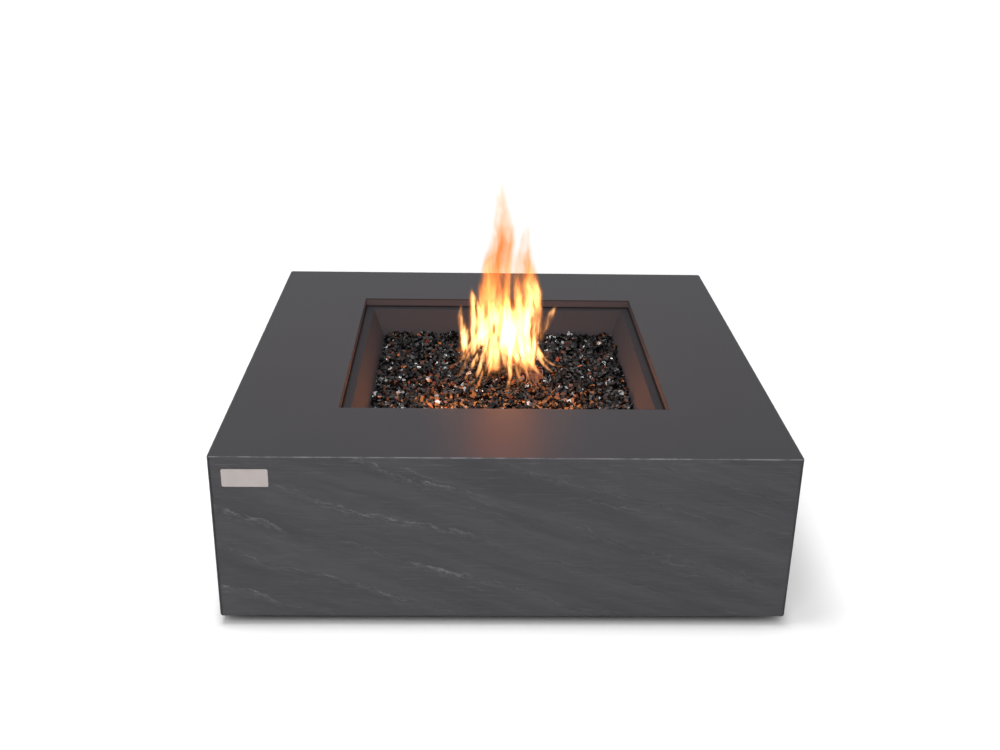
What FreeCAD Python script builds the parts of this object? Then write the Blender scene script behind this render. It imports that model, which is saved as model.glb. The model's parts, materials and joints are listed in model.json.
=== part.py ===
import FreeCAD, Part
import math
import os
import Sketcher

# A square outdoor gas fire pit. The origin is on the floor under the middle of the body, +Z is up,
# -Y is the front with the small metal plate, and +Y is the rear with the gas controls.

# The driving dimensions, in millimetres and degrees
SIZES = {
    # Shell
    "body_width": 1067,
    "side_height": 336,
    "floor_gap": 18,
    "wall": 18,
    "side_round": 6,
    "bottom_round": 5,
    "top_round": 2,
    # Fire bowl in the top of the shell
    "lip_width": 644,
    "lip_depth": 20,
    "ledge": 20,
    "ledge_thickness": 10,
    "bowl_depth": 60,
    "bowl_lean": 26,
    "tub_wall": 18,
    "tub_floor": 20,
    "glass_depth": 13,
    "heap_spacing": 70,
    "heap_height": 7,
    # Clearances
    "gap": 0.3,
    "fit": 0.05,
    # Front plate
    "badge_width": 83,
    "badge_height": 35,
    "badge_thickness": 1.5,
    "badge_round": 3,
    "badge_side_inset": 24,
    "badge_top_inset": 24,
    "tape_thickness": 0.5,
    "tape_margin": 3,
    # Burner pan
    "pan_width": 410,
    "pan_rim": 23,
    "pan_depth": 50,
    "pan_sheet": 1.5,
    "pan_gap": 3,
    "pan_round": 6,
    "glass_over_ring": 8,
    # Ring burner
    "ring_radius": 130,
    "ring_tube": 9.5,
    "ring_sheet": 1.5,
    "ring_lift": 5,
    "ring_ports": 36,
    "port_radius": 1.4,
    "hub_radius": 18,
    "hub_over_ring": 2,
    # Air mixer and orifice below the pan
    "spigot_radius": 10,
    "spigot_rise": 16,
    "lock_nut_flats": 32,
    "lock_nut_height": 6,
    "mixer_radius": 14,
    "mixer_length": 50,
    "mixer_bore": 8,
    "mixer_floor": 4,
    "mixer_neck": 18,
    "air_window_width": 9,
    "air_window_height": 18,
    "air_window_up": 10,
    "orifice_flats": 18,
    "orifice_hex": 10,
    "orifice_spigot": 4,
    "orifice_rise": 8,
    "jet_radius": 0.8,
    "jet_length": 3,
    # Tube connections
    "tail_radius": 5,
    "tail_length": 10,
    "tail_bore": 3,
    "tube_radius": 4.7,
    "tube_wall": 0.9,
    "tube_bend": 24,
    "tube_nut_flats": 17,
    "tube_nut_length": 16,
    "tube_drop": 82,
    "tube_out": 46,
    "tube_forward": 60,
    # Control panel in the rear wall
    "panel_x": 180,
    "panel_z": 180,
    "panel_width": 170,
    "panel_height": 100,
    "panel_sheet": 2,
    "panel_recess": 8,
    "panel_round": 5,
    "window_width": 140,
    "window_height": 70,
    "control_spacing": 72,
    # Gas valve
    "valve_width": 34,
    "valve_depth": 54,
    "neck_radius": 9,
    "neck_rise": 5,
    "valve_nut_flats": 24,
    "valve_nut_height": 4,
    "plug_radius": 8,
    "plug_chamber": 36,
    "spring_chamber": 16,
    "spring_chamber_radius": 7,
    "plug_length": 15,
    "plug_port": 2.2,
    "spindle_radius": 4,
    "tongue_width": 7,
    "tongue_thickness": 3,
    "tongue_length": 4,
    "tongue_gap": 0.2,
    "collar_radius": 6.5,
    "collar_thickness": 1.5,
    "push_travel": 3.5,
    "rod_radius": 1.2,
    "rod_engagement": 3,
    "valve_spring_radius": 5.4,
    "valve_spring_wire": 0.5,
    "valve_spring_turns": 6,
    "inlet_port_up": 14,
    "outlet_port_up": 28,
    "spring_steps": 12,
    # Flame safety magnet
    "magnet_thread": 10,
    "magnet_flats": 20,
    "magnet_head": 10,
    "magnet_tail_radius": 4,
    "magnet_tail": 6,
    "magnet_bore": 2,
    "magnet_bore_depth": 6,
    # Control knob
    "knob_radius": 21,
    "knob_height": 18,
    "knob_edge": 2,
    "knob_clearance": 0.5,
    "knob_cavity": 16,
    "knob_socket": 14,
    "grip_flutes": 12,
    "flute_radius": 3,
    "flute_bite": 1.6,
    "pointer_width": 2,
    "pointer_length": 12,
    "pointer_depth": 0.8,
    "pointer_inset": 1,
    # Push-button igniter
    "igniter_flange": 15,
    "igniter_flange_height": 3,
    "igniter_barrel": 11,
    "igniter_length": 75,
    "igniter_floor": 4,
    "igniter_bore": 8,
    "igniter_nut_flats": 30,
    "igniter_nut_height": 5,
    "battery_radius": 7.25,
    "battery_length": 50.5,
    "battery_tip_radius": 2.5,
    "battery_tip": 1,
    "igniter_spring_radius": 6,
    "igniter_spring_wire": 0.4,
    "igniter_spring_turns": 4,
    "igniter_spring_length": 9,
    "button_rise": 6,
    "button_travel": 4,
    "button_edge": 1,
    "terminal_radius": 3,
    "terminal_length": 6,
    # Spark electrode and thermocouple beside the ring
    "sensor_x": 75,
    "sensor_y": -15,
    "sensor_spacing": 16,
    "bracket_width": 50,
    "bracket_depth": 34,
    "bracket_sheet": 2,
    "sensor_slot_width": 30,
    "sensor_slot_depth": 14,
    "insulator_radius": 4,
    "insulator_below": 12,
    "insulator_above": 35,
    "electrode_radius": 1.2,
    "electrode_below": 4,
    "electrode_above": 22,
    "probe_radius": 3,
    "probe_below": 10,
    "probe_above": 64,
    "probe_tip": 1,
    "lead_radius": 1.3,
    "wire_radius": 1.5,
    "lead_bend": 30,
    "lead_drop": 40,
    "lead_forward": 40,
    "lead_reach": 120,
    "shield_width": 36,
    "shield_depth": 26,
    "shield_sheet": 1,
    "shield_over_glass": 17,
    "shield_hole": 1.6,
    "shield_hole_spacing": 6,
    "shield_hole_rows": 5,
    # Gas inlet over the hose notch
    "notch_width": 90,
    "notch_height": 45,
    "inlet_z": 42,
    "inlet_radius": 7.94,
    "inlet_thread": 8.6,
    "inlet_bore": 4,
    "inlet_mate": 12,
    "inlet_nut_flats": 24,
    "inlet_nut_height": 5,
    "inlet_block": 22,
    "inlet_neck": 10.5,
    "plate_width": 120,
    "plate_height": 70,
    "plate_sheet": 2,
    "plate_overlap": 28,
    "plate_screw_drop": 9,
    "plate_screw_inset": 14,
    # Screws
    "screw_radius": 2,
    "screw_length": 12,
    "screw_head": 3.8,
    "screw_head_height": 2,
    "screw_head_bevel": 0.8,
    "screw_slot_length": 3.2,
    "screw_slot_width": 0.8,
    "screw_slot_depth": 1.2,
    "panel_screw_length": 6,
    "panel_screw_inset": 8,
    # Levelling feet
    "foot_inset": 40,
    "gusset_leg": 110,
    "gusset_height": 50,
    "gusset_roof": 8,
    "insert_radius": 9,
    "insert_length": 20,
    "stud_radius": 5,
    "stud_past": 14,
    "stud_gap": 1,
    "stud_flats": 17,
    "collar_height": 6,
    "pad_radius": 25,
    "pad_height": 10,
    "pad_floor": 4,
    "pad_edge": 1.5,
    "pad_neck": 12.5,
}

DOC = FreeCAD.newDocument("fire_pit")
SHEET = DOC.addObject("Spreadsheet::Sheet", "Sizes")
for row, (name, value) in enumerate(SIZES.items(), start=1):
    SHEET.set(f"A{row}", name)
    SHEET.set(f"B{row}", str(value))
    SHEET.setAlias(f"B{row}", name)
DOC.recompute()


class Size:
    """A length that stays tied to the sheet: an expression over its cells, with the number it gives."""

    def __init__(self, text, value):
        self.text = text
        self.value = float(value)

    def __str__(self):
        return self.text

    def __float__(self):
        return self.value

    def __add__(self, other):
        return Size(f"({self} + {other})", self.value + float(other))

    def __radd__(self, other):
        return Size(f"({other} + {self})", float(other) + self.value)

    def __sub__(self, other):
        return Size(f"({self} - {other})", self.value - float(other))

    def __rsub__(self, other):
        return Size(f"({other} - {self})", float(other) - self.value)

    def __mul__(self, other):
        return Size(f"({self} * {other})", self.value * float(other))

    def __rmul__(self, other):
        return Size(f"({other} * {self})", float(other) * self.value)

    def __truediv__(self, other):
        return Size(f"({self} / {other})", self.value / float(other))

    def __neg__(self):
        return Size(f"(0 - {self})", -self.value)


class Cells:
    """Reads a cell of the sheet by its name."""

    def __getattr__(self, name):
        return Size(f"Sizes.{name}", SIZES[name])


s = Cells()
COS_30 = Size("cos(30)", math.cos(math.radians(30)))

# Places that follow from the sizes
half_width = s.body_width / 2
inner_wall = half_width - s.wall
top = s.floor_gap + s.side_height
ledge_top = top - s.lip_depth
bowl_floor = ledge_top - s.bowl_depth
mouth = s.lip_width - 2 * s.ledge
floor_width = mouth - 2 * s.bowl_lean
glass_top = bowl_floor + s.glass_depth
glass_width = floor_width + 2 * s.bowl_lean * s.glass_depth / s.bowl_depth

pan_bottom = bowl_floor - s.pan_depth
pan_floor = pan_bottom + s.pan_sheet
rim_width = s.pan_width + 2 * s.pan_rim
rim_screw = s.pan_width / 2 + s.pan_rim / 2
ring_height = s.ring_lift + s.ring_tube
hub_height = ring_height + s.ring_tube + s.hub_over_ring
mixer_bottom = pan_bottom - s.mixer_neck - s.mixer_length
orifice_bottom = mixer_bottom - s.orifice_hex

panel_front = half_width - s.panel_recess
panel_back = panel_front - s.panel_sheet
rebate = s.panel_recess + s.panel_sheet
valve_x = s.panel_x - s.control_spacing / 2
button_x = s.panel_x + s.control_spacing / 2
valve_back = panel_back - s.valve_depth
igniter_back = panel_front - s.igniter_length
magnet_back = valve_back - s.magnet_head - s.magnet_tail
inlet_y = valve_back + s.inlet_port_up
outlet_y = valve_back + s.outlet_port_up
valve_tail = s.valve_width / 2 + s.tail_length
plug_start = s.plug_chamber - s.plug_length - s.gap
plug_end = s.plug_chamber - s.gap
tongue_start = plug_end - s.tongue_length
shaft_start = plug_end + s.push_travel + s.gap
neck_end = s.valve_depth + s.panel_sheet + s.neck_rise
knob_start = s.valve_depth + s.panel_sheet + s.push_travel + s.knob_clearance
slot_depth = s.tongue_length + s.push_travel + s.tongue_gap

probe_x = s.sensor_x - s.sensor_spacing / 2
spark_x = s.sensor_x + s.sensor_spacing / 2
bracket_top = pan_floor + s.bracket_sheet
shield_top = glass_top + s.shield_over_glass

plate_top = s.floor_gap + s.notch_height + s.plate_overlap
plate_screw = s.plate_width / 2 - s.plate_screw_inset
foot_place = inner_wall - s.foot_inset
stud_top = s.floor_gap + s.insert_length + s.stud_past

UPRIGHT = FreeCAD.Rotation()
TO_REAR = FreeCAD.Rotation(FreeCAD.Vector(1, 0, 0), -90)
TO_FRONT = FreeCAD.Rotation(FreeCAD.Vector(1, 0, 0), 90)
TO_RIGHT = FreeCAD.Rotation(FreeCAD.Vector(0, 1, 0), 90)
TO_FLOOR = FreeCAD.Rotation(FreeCAD.Vector(1, 0, 0), 180)

# The corners of the body and of the control panel, each as its side of the middle
CORNERS = [("fl", -1, -1), ("fr", 1, -1), ("br", 1, 1), ("bl", -1, 1)]
PANEL_CORNERS = [(-1, -1), (1, -1), (1, 1), (-1, 1)]

# How near two heights or two lengths are before they count as one, and the least that a cut takes away
TOLERANCE = 1e-3
LEAST_CUT = 1e-6
# The share of a straight run that one bend may take
BEND_SHARE = 0.45
# Wire radii from the end of a coil spring to the middle of its wire
COIL_SEAT = 1.1
# A heap of glass: its reach as a share of the spacing, how much of its reach and of its height may be
# missing, and how wide its crown is for its foot
HEAP_REACH = 0.48
HEAP_LOSS = 0.25
HEAP_CROWN = 0.35

PIECES = []


def bind(thing, path, value):
    thing.setExpression(path, str(value))


def new_body(label, place=(0, 0, 0), turn=UPRIGHT):
    """A piece of its own. Its local +Z points where the turn sends it."""
    body = DOC.addObject("PartDesign::Body", label)
    body.Label = label
    body.Placement = FreeCAD.Placement(FreeCAD.Vector(), turn)
    for axis, value in zip("xyz", place):
        bind(body, f"Placement.Base.{axis}", value)
    PIECES.append(body)
    return body


def origin_item(body, role):
    return next(item for item in body.Origin.OriginFeatures if item.Role == role)


def new_sketch(body, across=0, up=0, out=0, plane="XY_Plane"):
    """A sketch on a plane of the body. It moves in the plane by across and up, and off it by out.

    XY_Plane has its normal along +Z, XZ_Plane along -Y and YZ_Plane along +X.
    """
    sketch = body.newObject("Sketcher::SketchObject", f"{body.Name}_sketch")
    sketch.AttachmentSupport = [(origin_item(body, plane), "")]
    sketch.MapMode = "FlatFace"
    for axis, value in zip("xyz", (across, up, out)):
        bind(sketch, f"AttachmentOffset.Base.{axis}", value)
    return sketch


def hold(sketch, name, kind, places, value):
    """A dimension that follows an expression."""
    index = sketch.addConstraint(Sketcher.Constraint(kind, *places, float(value)))
    sketch.renameConstraint(index, name)
    bind(sketch, f"Constraints.{name}", value)


def polygon(sketch, points):
    """A closed outline, each corner dimensioned from the sketch's origin."""
    corners = [FreeCAD.Vector(float(x), float(y), 0) for x, y in points]
    count = len(corners)
    first = sketch.GeometryCount
    for index in range(count):
        sketch.addGeometry(Part.LineSegment(corners[index], corners[(index + 1) % count]), False)
    for index in range(count):
        following = first + (index + 1) % count
        sketch.addConstraint(Sketcher.Constraint("Coincident", first + index, 2, following, 1))
    for index, (x, y) in enumerate(points, start=first):
        hold(sketch, f"x{index}", "DistanceX", (-1, 1, index, 1), x)
        hold(sketch, f"y{index}", "DistanceY", (-1, 1, index, 1), y)


def rectangle(sketch, wide, tall):
    """A rectangle with its middle on the sketch's origin."""
    right = wide / 2
    high = tall / 2
    polygon(sketch, [(-right, -high), (right, -high), (right, high), (-right, high)])


def circle(sketch, radius, x=0, y=0):
    index = sketch.addGeometry(Part.Circle(vector(x, y, 0), FreeCAD.Vector(0, 0, 1), 1))
    hold(sketch, f"r{index}", "Radius", (index,), radius)
    hold(sketch, f"x{index}", "DistanceX", (-1, 1, index, 3), x)
    hold(sketch, f"y{index}", "DistanceY", (-1, 1, index, 3), y)


def pad(body, sketch, length, reverse=False):
    feature = body.newObject("PartDesign::Pad", f"{body.Name}_pad")
    feature.Profile = sketch
    feature.Reversed = reverse
    bind(feature, "Length", length)
    return feature


def cut_checked(body, feature, before):
    """A cut that removes nothing is an error."""
    DOC.recompute()
    if body.Shape.Volume >= before - LEAST_CUT:
        raise RuntimeError(f"{feature.Name} removes nothing from {body.Label}")
    return feature


def pocket(body, sketch, length, reverse=False):
    """A pocket runs against the sketch's normal, or along it when reversed."""
    DOC.recompute()
    before = body.Shape.Volume
    feature = body.newObject("PartDesign::Pocket", f"{body.Name}_pocket")
    feature.Profile = sketch
    feature.Reversed = reverse
    bind(feature, "Length", length)
    return cut_checked(body, feature, before)


def drill(body, radius, depth, across=0, up=0, out=0, plane="XY_Plane", reverse=False):
    hole = new_sketch(body, across, up, out, plane)
    circle(hole, radius)
    return pocket(body, hole, depth, reverse)


def loft(body, kind, low, high):
    """A ruled body between two square sketches, added or taken away."""
    feature = body.newObject(f"PartDesign::{kind}Loft", f"{body.Name}_loft")
    feature.Profile = low
    feature.Sections = [high]
    feature.Ruled = True
    return feature


def around(body, features, count):
    """Copies of features round the body's own Z axis."""
    pattern = body.newObject("PartDesign::PolarPattern", f"{body.Name}_round")
    pattern.Originals = features
    pattern.Axis = (origin_item(body, "Z_Axis"), [""])
    pattern.Angle = 360
    bind(pattern, "Occurrences", count)
    body.Tip = pattern
    DOC.recompute()
    return pattern


def soften(body, kind, amount, chosen):
    """Rounds or bevels the chosen edges of the piece as it stands."""
    DOC.recompute()
    base = body.Tip
    names = [f"Edge{index}" for index, edge in enumerate(base.Shape.Edges, start=1) if chosen(edge)]
    feature = body.newObject(f"PartDesign::{kind}", f"{body.Name}_{kind.lower()}")
    feature.Base = (base, names)
    bind(feature, "Radius" if kind == "Fillet" else "Size", amount)
    return feature


def upright(edge):
    """True for an edge along the piece's local Z."""
    box = edge.BoundBox
    return box.ZLength > TOLERANCE and box.XLength < TOLERANCE and box.YLength < TOLERANCE


def level_with(height):
    """A test for the edges that lie at one local height."""
    level = float(height)

    def lies_there(edge):
        box = edge.BoundBox
        return abs(box.ZMin - level) < TOLERANCE and abs(box.ZMax - level) < TOLERANCE

    return lies_there


def turned(label, outline, place=(0, 0, 0), turn=UPRIGHT):
    """A piece made on a lathe. Its outline is a list of radius and height."""
    body = new_body(label, place, turn)
    profile = new_sketch(body, plane="XZ_Plane")
    polygon(profile, outline)
    feature = body.newObject("PartDesign::Revolution", f"{label}_turning")
    feature.Profile = profile
    feature.ReferenceAxis = (profile, ["V_Axis"])
    feature.Angle = 360
    return body


def hexagon(body, flats, height, out=0):
    """A six-sided bar along local Z, sized across its flats."""
    prism = body.newObject("PartDesign::AdditivePrism", f"{body.Name}_hexagon")
    prism.AttachmentSupport = [(origin_item(body, "XY_Plane"), "")]
    prism.MapMode = "FlatFace"
    prism.Polygon = 6
    bind(prism, "AttachmentOffset.Base.z", out)
    bind(prism, "Circumradius", flats / 2 / COS_30)
    bind(prism, "Height", height)
    return prism


def nut(label, flats, height, bore, place, turn=UPRIGHT):
    body = new_body(label, place, turn)
    hexagon(body, flats, height)
    hole = new_sketch(body)
    circle(hole, bore)
    pocket(body, hole, height, reverse=True)
    return body


def screws(label, length, places, turn=UPRIGHT):
    """Pan-head screws of one kind. Each place is under a head, and the shank runs down local -Z."""
    crown = s.screw_head - s.screw_head_bevel
    outline = [(0, -length), (s.screw_radius, -length), (s.screw_radius, 0), (s.screw_head, 0),
               (s.screw_head, s.screw_head_height / 2), (crown, s.screw_head_height),
               (0, s.screw_head_height)]
    made = []
    for index, place in enumerate(places, start=1):
        body = turned(f"{label}_{index}", outline, place, turn)
        PIECES.remove(body)
        socket = new_sketch(body, out=s.screw_head_height)
        rectangle(socket, s.screw_slot_length, s.screw_slot_width)
        slot = pocket(body, socket, s.screw_slot_depth)
        around(body, [slot], 4)
        made.append(body)
    group = DOC.addObject("Part::Compound", label)
    group.Label = label
    group.Links = made
    PIECES.append(group)


def vector(x, y, z):
    return FreeCAD.Vector(float(x), float(y), float(z))


def rounded_path(points, bend):
    """Straight runs joined by tangent arcs of one radius, limited by the shorter run at each corner."""
    edges = []
    start = points[0]
    for before, corner, after in zip(points, points[1:], points[2:]):
        arriving = (corner - before).normalize()
        leaving = (after - corner).normalize()
        half_turn = arriving.getAngle(leaving) / 2
        room = BEND_SHARE * min((corner - before).Length, (after - corner).Length)
        radius = min(bend, room / math.tan(half_turn))
        cut = radius * math.tan(half_turn)
        arc_start = corner - arriving * cut
        arc_end = corner + leaving * cut
        inward = (leaving - arriving).normalize()
        middle = corner + inward * (radius / math.cos(half_turn) - radius)
        edges.append(Part.LineSegment(start, arc_start).toShape())
        edges.append(Part.Arc(arc_start, middle, arc_end).toShape())
        start = arc_end
    edges.append(Part.LineSegment(start, points[-1]).toShape())
    return Part.Wire(edges)


def swept(points, bend, radius):
    """A round rod along a rounded path."""
    path = rounded_path(points, float(bend))
    section = Part.Wire(Part.Circle(points[0], points[1] - points[0], float(radius)).toShape())
    return path.makePipeShell([section], True, False)


def coil(radius, wire, length, turns):
    """A compression spring along +Z from the origin, bent from short straight runs of wire."""
    thick = float(wire)
    steps = int(float(s.spring_steps))
    count = int(float(turns) * steps)
    foot = COIL_SEAT * thick
    rise = (float(length) - 2 * foot) / count
    corners = []
    for index in range(count + 1):
        angle = 2 * math.pi * index / steps
        corners.append(FreeCAD.Vector(math.cos(angle), math.sin(angle), 0) * float(radius))
        corners[-1].z = foot + rise * index
    section = Part.Wire(Part.Circle(corners[0], corners[1] - corners[0], thick).toShape())
    mitred = 1
    return Part.makePolygon(corners).makePipeShell([section], True, False, mitred)


def formed(label, shape, place=FreeCAD.Vector(), turn=UPRIGHT):
    """A piece whose shape is drawn along a path."""
    piece = DOC.addObject("Part::Feature", label)
    piece.Label = label
    piece.Shape = shape
    piece.Placement = FreeCAD.Placement(place, turn)
    PIECES.append(piece)
    return piece


# Shell, glass and front plate


def corner_gusset(body):
    """A three-sided block in a bottom corner, bored for the insert and the end of the stud."""
    buried = inner_wall + s.wall / 2
    reach = inner_wall - s.gusset_leg
    outline = new_sketch(body, out=s.floor_gap)
    polygon(outline, [(buried, buried), (reach, buried), (buried, reach)])
    block = pad(body, outline, s.gusset_height)
    foot_hole = (foot_place, foot_place, s.floor_gap)
    seat = drill(body, s.insert_radius + s.fit, s.insert_length, *foot_hole, reverse=True)
    well = drill(body, s.stud_radius + s.stud_gap, s.gusset_height - s.gusset_roof, *foot_hole, reverse=True)
    around(body, [block, seat, well], 4)


def rear_openings(body):
    """The recess and window of the control panel, and the hose notch, each cut from the rear face."""
    recess = new_sketch(body, s.panel_x, s.panel_z, -half_width, "XZ_Plane")
    rectangle(recess, s.panel_width + 2 * s.gap, s.panel_height + 2 * s.gap)
    pocket(body, recess, rebate, reverse=True)
    window = new_sketch(body, s.panel_x, s.panel_z, -half_width, "XZ_Plane")
    rectangle(window, s.window_width, s.window_height)
    pocket(body, window, s.wall, reverse=True)
    for side, level in PANEL_CORNERS:
        across = s.panel_x + side * (s.panel_width / 2 - s.panel_screw_inset)
        up = s.panel_z + level * (s.panel_height / 2 - s.panel_screw_inset)
        drill(body, s.screw_radius + s.fit, rebate + s.panel_screw_length, across, up, -half_width,
              "XZ_Plane", reverse=True)
    notch = new_sketch(body, valve_x, s.floor_gap, -half_width, "XZ_Plane")
    rectangle(notch, s.notch_width, s.notch_height * 2)
    pocket(body, notch, s.wall, reverse=True)
    for side in (-1, 1):
        drill(body, s.screw_radius + s.fit, s.screw_length, valve_x + side * plate_screw,
              plate_top - s.plate_screw_drop, -inner_wall, "XZ_Plane")


def concrete_body():
    body = new_body("concrete_body")
    outline = new_sketch(body, out=s.floor_gap)
    rectangle(outline, s.body_width, s.body_width)
    pad(body, outline, s.side_height)
    soften(body, "Fillet", s.side_round, upright)
    soften(body, "Fillet", s.bottom_round, level_with(s.floor_gap))
    soften(body, "Fillet", s.top_round, level_with(top))
    hollow = new_sketch(body, out=s.floor_gap)
    rectangle(hollow, s.body_width - 2 * s.wall, s.body_width - 2 * s.wall)
    pocket(body, hollow, s.side_height - s.lip_depth - s.ledge_thickness, reverse=True)
    tub = new_sketch(body, out=bowl_floor - s.tub_floor)
    rectangle(tub, mouth + 2 * s.tub_wall, mouth + 2 * s.tub_wall)
    pad(body, tub, s.tub_floor + s.bowl_depth)
    lip = new_sketch(body, out=top)
    rectangle(lip, s.lip_width, s.lip_width)
    pocket(body, lip, s.lip_depth)
    bowl_bottom = new_sketch(body, out=bowl_floor)
    rectangle(bowl_bottom, floor_width, floor_width)
    bowl_mouth = new_sketch(body, out=ledge_top)
    rectangle(bowl_mouth, mouth, mouth)
    before = body.Shape.Volume
    cut_checked(body, loft(body, "Subtractive", bowl_bottom, bowl_mouth), before)
    pan_hole = new_sketch(body, out=bowl_floor)
    rectangle(pan_hole, s.pan_width + 2 * s.pan_gap, s.pan_width + 2 * s.pan_gap)
    pocket(body, pan_hole, s.tub_floor)
    rim_hole = drill(body, s.screw_radius + s.fit, s.screw_length, rim_screw, rim_screw, bowl_floor)
    around(body, [rim_hole], 4)
    corner_gusset(body)
    rear_openings(body)


def badge():
    """A bare plate on an adhesive pad, at the top left of the front face."""
    across = s.badge_side_inset + s.badge_width / 2 - half_width
    up = top - s.badge_top_inset - s.badge_height / 2
    tape = new_body("badge_tape", (across, -half_width, up), TO_FRONT)
    outline = new_sketch(tape)
    rectangle(outline, s.badge_width - 2 * s.tape_margin, s.badge_height - 2 * s.tape_margin)
    pad(tape, outline, s.tape_thickness)
    plate = new_body("badge_plate", (across, -half_width - s.tape_thickness, up), TO_FRONT)
    outline = new_sketch(plate)
    rectangle(outline, s.badge_width, s.badge_height)
    pad(plate, outline, s.badge_thickness)
    soften(plate, "Fillet", s.badge_round, upright)


def uneven(count):
    """A share from 0 to 1 that jumps from one count to the next, and is the same at every build."""
    return 0.5 + 0.5 * math.sin(13 * count + 1)


def heap_corners(spacing, number):
    """The uneven six-sided foot of one heap, round its own middle."""
    corners = []
    for corner in range(6):
        angle = math.radians(60 * (corner + uneven(number)))
        reach = HEAP_REACH * (1 - HEAP_LOSS * uneven(6 * number + corner))
        across = spacing * round(reach * math.cos(angle), 4)
        up = spacing * round(reach * math.sin(angle), 4)
        corners.append((across, up))
    return corners


def glass_heaps(body):
    """Low faceted heaps of broken glass over one quarter of the bed, turned to the other quarters."""
    rows = int(float(glass_width / 2 / s.heap_spacing))
    spacing = glass_width / (2 * rows)
    heaps = []
    for number in range(rows * rows):
        across = spacing * (number % rows + 0.5)
        up = spacing * (number // rows + 0.5)
        corners = heap_corners(spacing, number)
        foot = new_sketch(body, across, up, glass_top)
        polygon(foot, corners)
        crown = new_sketch(body, across, up, glass_top + s.heap_height * (1 - HEAP_LOSS * uneven(number)))
        polygon(crown, [(x * HEAP_CROWN, y * HEAP_CROWN) for x, y in corners])
        heaps.append(loft(body, "Additive", foot, crown))
    around(body, heaps, 4)


def fire_glass():
    """The bed fills the bowl over the pan's rim and reaches down into the pan over the ring."""
    body = new_body("fire_glass")
    low = new_sketch(body, out=bowl_floor)
    rectangle(low, floor_width - 2 * s.gap, floor_width - 2 * s.gap)
    high = new_sketch(body, out=glass_top)
    rectangle(high, glass_width - 2 * s.gap, glass_width - 2 * s.gap)
    loft(body, "Additive", low, high)
    rim = new_sketch(body, out=bowl_floor + s.pan_sheet)
    rectangle(rim, rim_width + 2 * s.gap, rim_width + 2 * s.gap)
    pocket(body, rim, s.pan_sheet)
    filling = s.pan_depth - ring_height - s.ring_tube - s.glass_over_ring
    plug = new_sketch(body, out=bowl_floor + s.pan_sheet)
    rectangle(plug, s.pan_width - 2 * s.pan_sheet - 2 * s.gap, s.pan_width - 2 * s.pan_sheet - 2 * s.gap)
    pad(body, plug, filling, reverse=True)
    beside_wall = float(s.pan_width / 2)
    soften(body, "Fillet", s.pan_round, lambda edge: upright(edge) and abs(edge.BoundBox.XMin) < beside_wall)
    glass_heaps(body)
    well = new_sketch(body, s.sensor_x, s.sensor_y, glass_top + s.heap_height)
    rectangle(well, s.shield_width + 2 * s.gap, s.shield_depth + 2 * s.gap)
    pocket(body, well, s.heap_height + s.glass_depth + filling)
    head = drill(body, s.screw_head + s.gap, s.screw_head_height + s.gap, rim_screw, rim_screw,
                 bowl_floor + s.pan_sheet, reverse=True)
    around(body, [head], 4)


# Burner


def burner_pan():
    """A pressed dish with a flat rim that lies on the floor of the bowl."""
    body = new_body("burner_pan")
    box = new_sketch(body, out=pan_bottom)
    rectangle(box, s.pan_width, s.pan_width)
    pad(body, box, s.pan_depth)
    rim = new_sketch(body, out=bowl_floor)
    rectangle(rim, rim_width, rim_width)
    pad(body, rim, s.pan_sheet)
    inside = new_sketch(body, out=bowl_floor + s.pan_sheet)
    rectangle(inside, s.pan_width - 2 * s.pan_sheet, s.pan_width - 2 * s.pan_sheet)
    pocket(body, inside, s.pan_depth)
    middle_of_wall = float(s.pan_width / 2 - s.pan_sheet / 2)
    rim_start = float(rim_width / 2) - TOLERANCE
    soften(body, "Fillet", s.pan_round - s.pan_sheet,
           lambda edge: upright(edge) and abs(edge.BoundBox.XMin) < middle_of_wall)
    soften(body, "Fillet", s.pan_round,
           lambda edge: upright(edge) and middle_of_wall < abs(edge.BoundBox.XMin) < rim_start)
    drill(body, s.spigot_radius + s.gap, s.pan_sheet, out=pan_floor)
    slot = new_sketch(body, s.sensor_x, s.sensor_y, pan_floor)
    rectangle(slot, s.sensor_slot_width, s.sensor_slot_depth)
    pocket(body, slot, s.pan_sheet)
    hole = drill(body, s.screw_radius + s.gap, s.pan_sheet, rim_screw, rim_screw, bowl_floor + s.pan_sheet)
    around(body, [hole], 4)


def pan_screws():
    places = [(side * rim_screw, depth * rim_screw, bowl_floor + s.pan_sheet)
              for name, side, depth in CORNERS]
    screws("pan_screws", s.screw_length - s.gap, places)


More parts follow.
